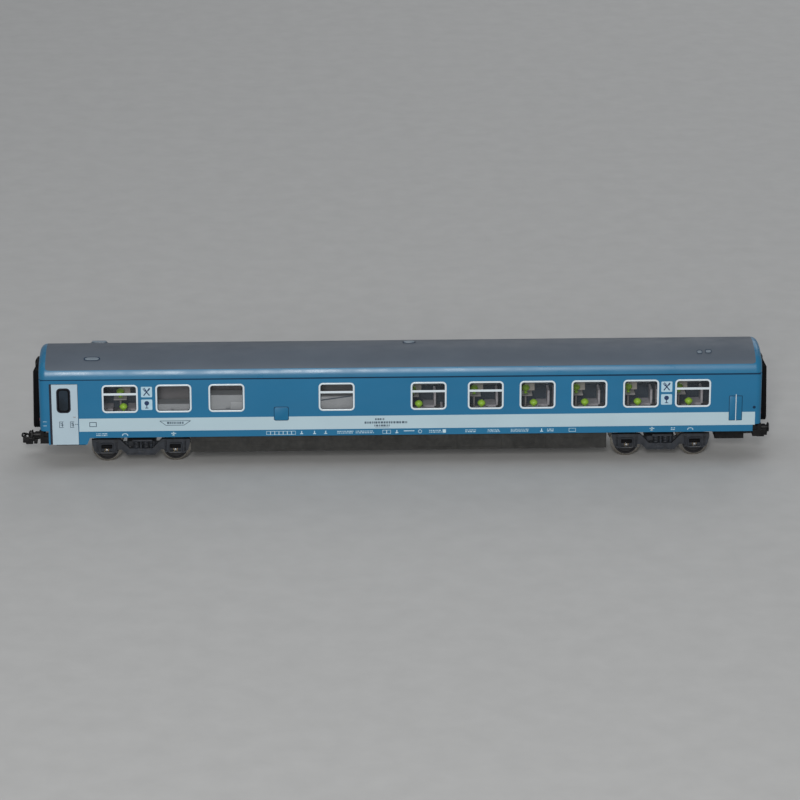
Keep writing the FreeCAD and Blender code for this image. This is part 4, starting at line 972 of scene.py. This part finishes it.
def make_far_window_light():
    """Folded beige cards on the far tables near the wall, painted light that stands for the bright
    backdrop seen through the foot of the far windows.
    """
    light_cards = Shape()
    thick, tall, ridge = 0.08, 2.3, 9.9
    for low, high, _ in solids("dining_tables"):
        if high.y < 0:
            continue
        x0, x1 = (low.x + high.x) / 2 + 0.1, high.x + 0.9
        for foot in (9.2, 10.1):
            leaf = [(x, y, high.z + z) for x, y, z in
                    ((x0, foot, 0.02), (x1, foot, 0.02), (x1, ridge, tall), (x0, ridge, tall))]
            light_cards.rings([leaf, [(x, y + thick, z) for x, y, z in leaf]])
    light_cards.piece("far_window_light_cards", "far_window_light", "table_tan", smooth=20)


def make_lamps():
    """Balloon-shaped table lamps with a narrow foot."""
    lamps = Shape()
    profile = ((0, 0.62), (0.04, 0.66), (0.07, 0.45), (0.13, 0.30), (0.22, 0.42), (0.36, 0.92),
               (0.5, 1.18), (0.64, 1.24), (0.78, 1.08), (0.9, 0.72), (0.97, 0.32), (1.0, 0.03))
    for low, high, _ in solids("table_lamps"):
        middle = (low + high) / 2
        tall = high.z - low.z
        lamps.lathe([(share * tall, radius) for share, radius in profile],
                    (middle.x, middle.y, low.z), (0, 0, 1), 24)
    lamps.piece("lamp_shades", "lamp", "lamp_green", smooth=70, replaces=("table_lamps",))


# ---- bogies ----
AXLES = ("outer", "inner")
AXLEBOX_SECTION = ((-0.40, 0.01), (-0.40, 0.34), (-0.30, 0.46), (-0.10, 0.46), (0.0, 0.38),
                   (0.0, 0.01))
AXLE_HEIGHT = sum(corner.z for corner in extent("front_outer_axle")) / 2
FRAME_TOP = extent("front_bogie_frame")[1].z
FRAME_RIM = [(14.9, FRAME_TOP), (6.3, FRAME_TOP), (3.5, 5.3), (-3.5, 5.3), (-6.3, FRAME_TOP),
             (-14.9, FRAME_TOP), (-14.9, 7.0), (-14.3, 4.7), (-13.2, 3.7), (-8.4, 3.7), (-7.2, 4.9),
             (-5.9, 4.9), (-4.2, 3.2), (4.2, 3.2), (5.9, 4.9), (7.2, 4.9), (8.4, 3.7), (13.2, 3.7),
             (14.3, 4.7), (14.9, 7.0)]


def inset_outline(outline, distance):
    """The outline moved inwards by a distance at every corner."""
    moved = []
    count = len(outline)
    for k in range(count):
        before, here, after = (Vector(outline[(k + d) % count]) for d in (-1, 0, 1))
        first, second = (here - before).normalized(), (after - here).normalized()
        one, two = Vector((-first.y, first.x)), Vector((-second.y, second.x))
        bisector = (one + two).normalized()
        moved.append(here + bisector * distance / max(0.5, bisector.dot(one)))
    return [(p.x, p.y) for p in moved]


def coil(shape, x, y, low, high, radius, wire, turns):
    """An upright helical spring."""
    steps = turns * 14
    path = []
    for k in range(steps + 1):
        angle = 2 * math.pi * turns * k / steps
        path.append((x + radius * math.cos(angle), y + radius * math.sin(angle),
                     low + (high - low) * k / steps))
    shape.tube(path, wire, 8)


def add_springs(springs, centre, side, outer):
    """Coil springs with seats and cores, two dampers and the beam over them on one side."""
    y, foot = side * (outer - 0.45), 5.32
    upward = (0, 0, 1)
    for x in (-1.45, 1.45):
        coil(springs, centre + x, y, 5.45, 7.5, 0.74, 0.19, 4)
        springs.lathe([(0, 0.95), (0.1, 0.98), (0.16, 0.6)], (centre + x, y, 5.31), upward, 16)
        springs.lathe([(0, 0.34), (2.3, 0.34)], (centre + x, y, foot), upward, 12)
    springs.lathe([(0, 0.3), (0.15, 0.42), (1.3, 0.42), (1.35, 0.26), (2.3, 0.26)],
                  (centre + 3.05, y, 5.4), upward, 12)
    springs.lathe([(0, 0.3), (0.15, 0.36), (1.3, 0.36), (1.35, 0.22), (2.3, 0.22)],
                  (centre, side * (outer + 0.1), foot), upward, 12)
    springs.slab((centre - 2.6, side * (outer - 1.45), 7.55),
                 (centre + 3.5, side * (outer + 0.28), 8.05), 0.12)
    springs.slab((centre - 1.1, side * (outer + 0.01), 3.55),
                 (centre + 1.1, side * (outer + 0.22), 4.5), 0.1)


def add_axlebox(boxes, slot_shade, x, side, outer):
    """A framed axlebox with a bearing ring and small springs beside it, and a black block in its
    slot that is painted shade.
    """
    boxes.band(Vector((x - 1.75, 0, 4.2)), Vector((x + 1.75, 0, 6.8)), 0.35,
               AXLEBOX_SECTION, side, outer, 5)
    # painted shade: a black block at the top of the slot, over the axle end
    slot_shade.slab((x - 1.6, side * (outer - 0.7), AXLE_HEIGHT + 0.62),
               (x + 1.6, side * (outer + 0.06), AXLE_HEIGHT + 1.5), 0.05)
    boxes.lathe([(-0.73, 1.2), (-0.66, 1.2), (-0.6, 1.05), (-0.6, 0.66), (-0.73, 0.66)],
                (x, side * outer, AXLE_HEIGHT), (0, side, 0), 28, hollow=True)
    for place in (x - 2.9, x + 2.9):
        coil(boxes, place, side * (outer + 0.3), 4.5, 7.7, 0.26, 0.1, 7)
        for z0, z1 in ((4.15, 4.5), (7.6, 7.9)):
            boxes.slab((place - 0.42, side * outer, z0), (place + 0.42, side * (outer + 0.55), z1),
                       0.08)


def add_wheelset(name, k, x, outer):
    """Dished wheel faces and bright axle ends, which turn with one wheelset."""
    body = f"{name}_{k}_wheelset"
    wheel_face = extent(f"{name}_{k}_wheels")[1].y
    faces, ends = Shape(), Shape()
    for side in (-1, 1):
        faces.lathe([(0.0, 3.64), (0.025, 3.6), (0.025, 3.14), (-0.36, 3.02), (-0.4, 1.83),
                     (0.02, 1.5), (0.03, 0.8), (-0.1, 0.8), (-0.5, 1.8), (-0.5, 3.06),
                     (-0.1, 3.2), (-0.1, 3.62)],
                    (x, side * wheel_face, AXLE_HEIGHT), (0, side, 0), 40, hollow=True)
        ends.lathe([(-0.55, 0.48), (-0.35, 0.48), (-0.2, 0.36), (-0.14, 0.05)],
                   (x, side * outer, AXLE_HEIGHT), (0, side, 0), 20)
    faces.piece(f"{name}_{k}_wheel_faces", "wheel_face", "wheel_dark", body)
    ends.piece(f"{name}_{k}_axle_ends", "steel", "axle_steel", body)


def make_bogies():
    """Ribbed side frames, springs, dampers and axleboxes with painted shade in their slots, and
    bright axle ends.
    """
    lip = ((inset_outline(FRAME_RIM, 0.03), 0.0), (inset_outline(FRAME_RIM, 0.03), 0.12),
           (inset_outline(FRAME_RIM, 0.38), 0.12), (inset_outline(FRAME_RIM, 0.38), 0.0))
    for name, _ in ENDS:
        low, high = extent(f"{name}_bogie_frame")
        centre = (low.x + high.x) / 2
        outer = high.y
        body = f"{name}_bogie"
        ribs, springs, boxes, slot_shade = Shape(), Shape(), Shape(), Shape()
        axles = [sum(corner.x for corner in extent(f"{name}_{k}_axle")) / 2 for k in AXLES]
        for side in (-1, 1):
            ribs.rings([[(centre + x, side * (outer + out), z) for x, z in ring]
                        for ring, out in lip], close_rows=True)
            add_springs(springs, centre, side, outer)
            for x in axles:
                add_axlebox(boxes, slot_shade, x, side, outer)
        for k, x in zip(AXLES, axles):
            add_wheelset(name, k, x, outer)
        ribs.piece(f"{name}_frame_ribs", "bogie", "bogie_grey", body)
        slot_shade.piece(f"{name}_axlebox_slot_shade", "rubber", "bogie_grey", body)
        springs.piece(f"{name}_spring_groups", "bogie", "bogie_grey", body,
                      replaces=(f"{name}_bogie_springs",))
        boxes.piece(f"{name}_axleboxes", "bogie", "bogie_grey", body,
                    replaces=(f"{name}_axlebox_covers",))


def make_underfloor():
    """Latches, louvres and ribs on the long fairings between the bogies."""
    low, high = extent("underfloor_fairings")
    outer = high.y
    bits = Shape()
    for side in (-1, 1):
        for k, x in enumerate((-57, -43.8, -30.3, -16.8, -3.3, 10.2, 23.7, 37.2, 53)):
            patches = [(x + shift, 0.35, 3.9, 4.5, 0.06) for shift in (-4.6, 4.6)]
            if k % 3 == 1:
                patches += [(x, 3.4, 1.1 + row * 0.55, 1.38 + row * 0.55, 0.07) for row in range(5)]
            else:
                patches += [(x, 5.2, foot, foot + 0.18, 0.05) for foot in (0.7, 3.2)]
            for middle, half, z0, z1, bevel in patches:
                bits.slab((middle - half, side * (outer - 0.05), low.z + z0),
                          (middle + half, side * (outer + 0.1), low.z + z1), bevel)
    bits.piece("fairing_details", "fairing", "underfloor_grey")


for make in (make_camera, paint_cad, make_stage, make_stripe, make_signs, make_markings,
             make_window_frames, make_roof_paint, make_vents, make_body_trim, make_pane_rims,
             make_bellows, make_buffers, make_end_doors, make_tail_lamps, make_couplers,
             make_furniture, make_painted_wall_shade, make_kitchen_details, make_far_window_light, make_lamps,
             make_bogies, make_underfloor):
    make()
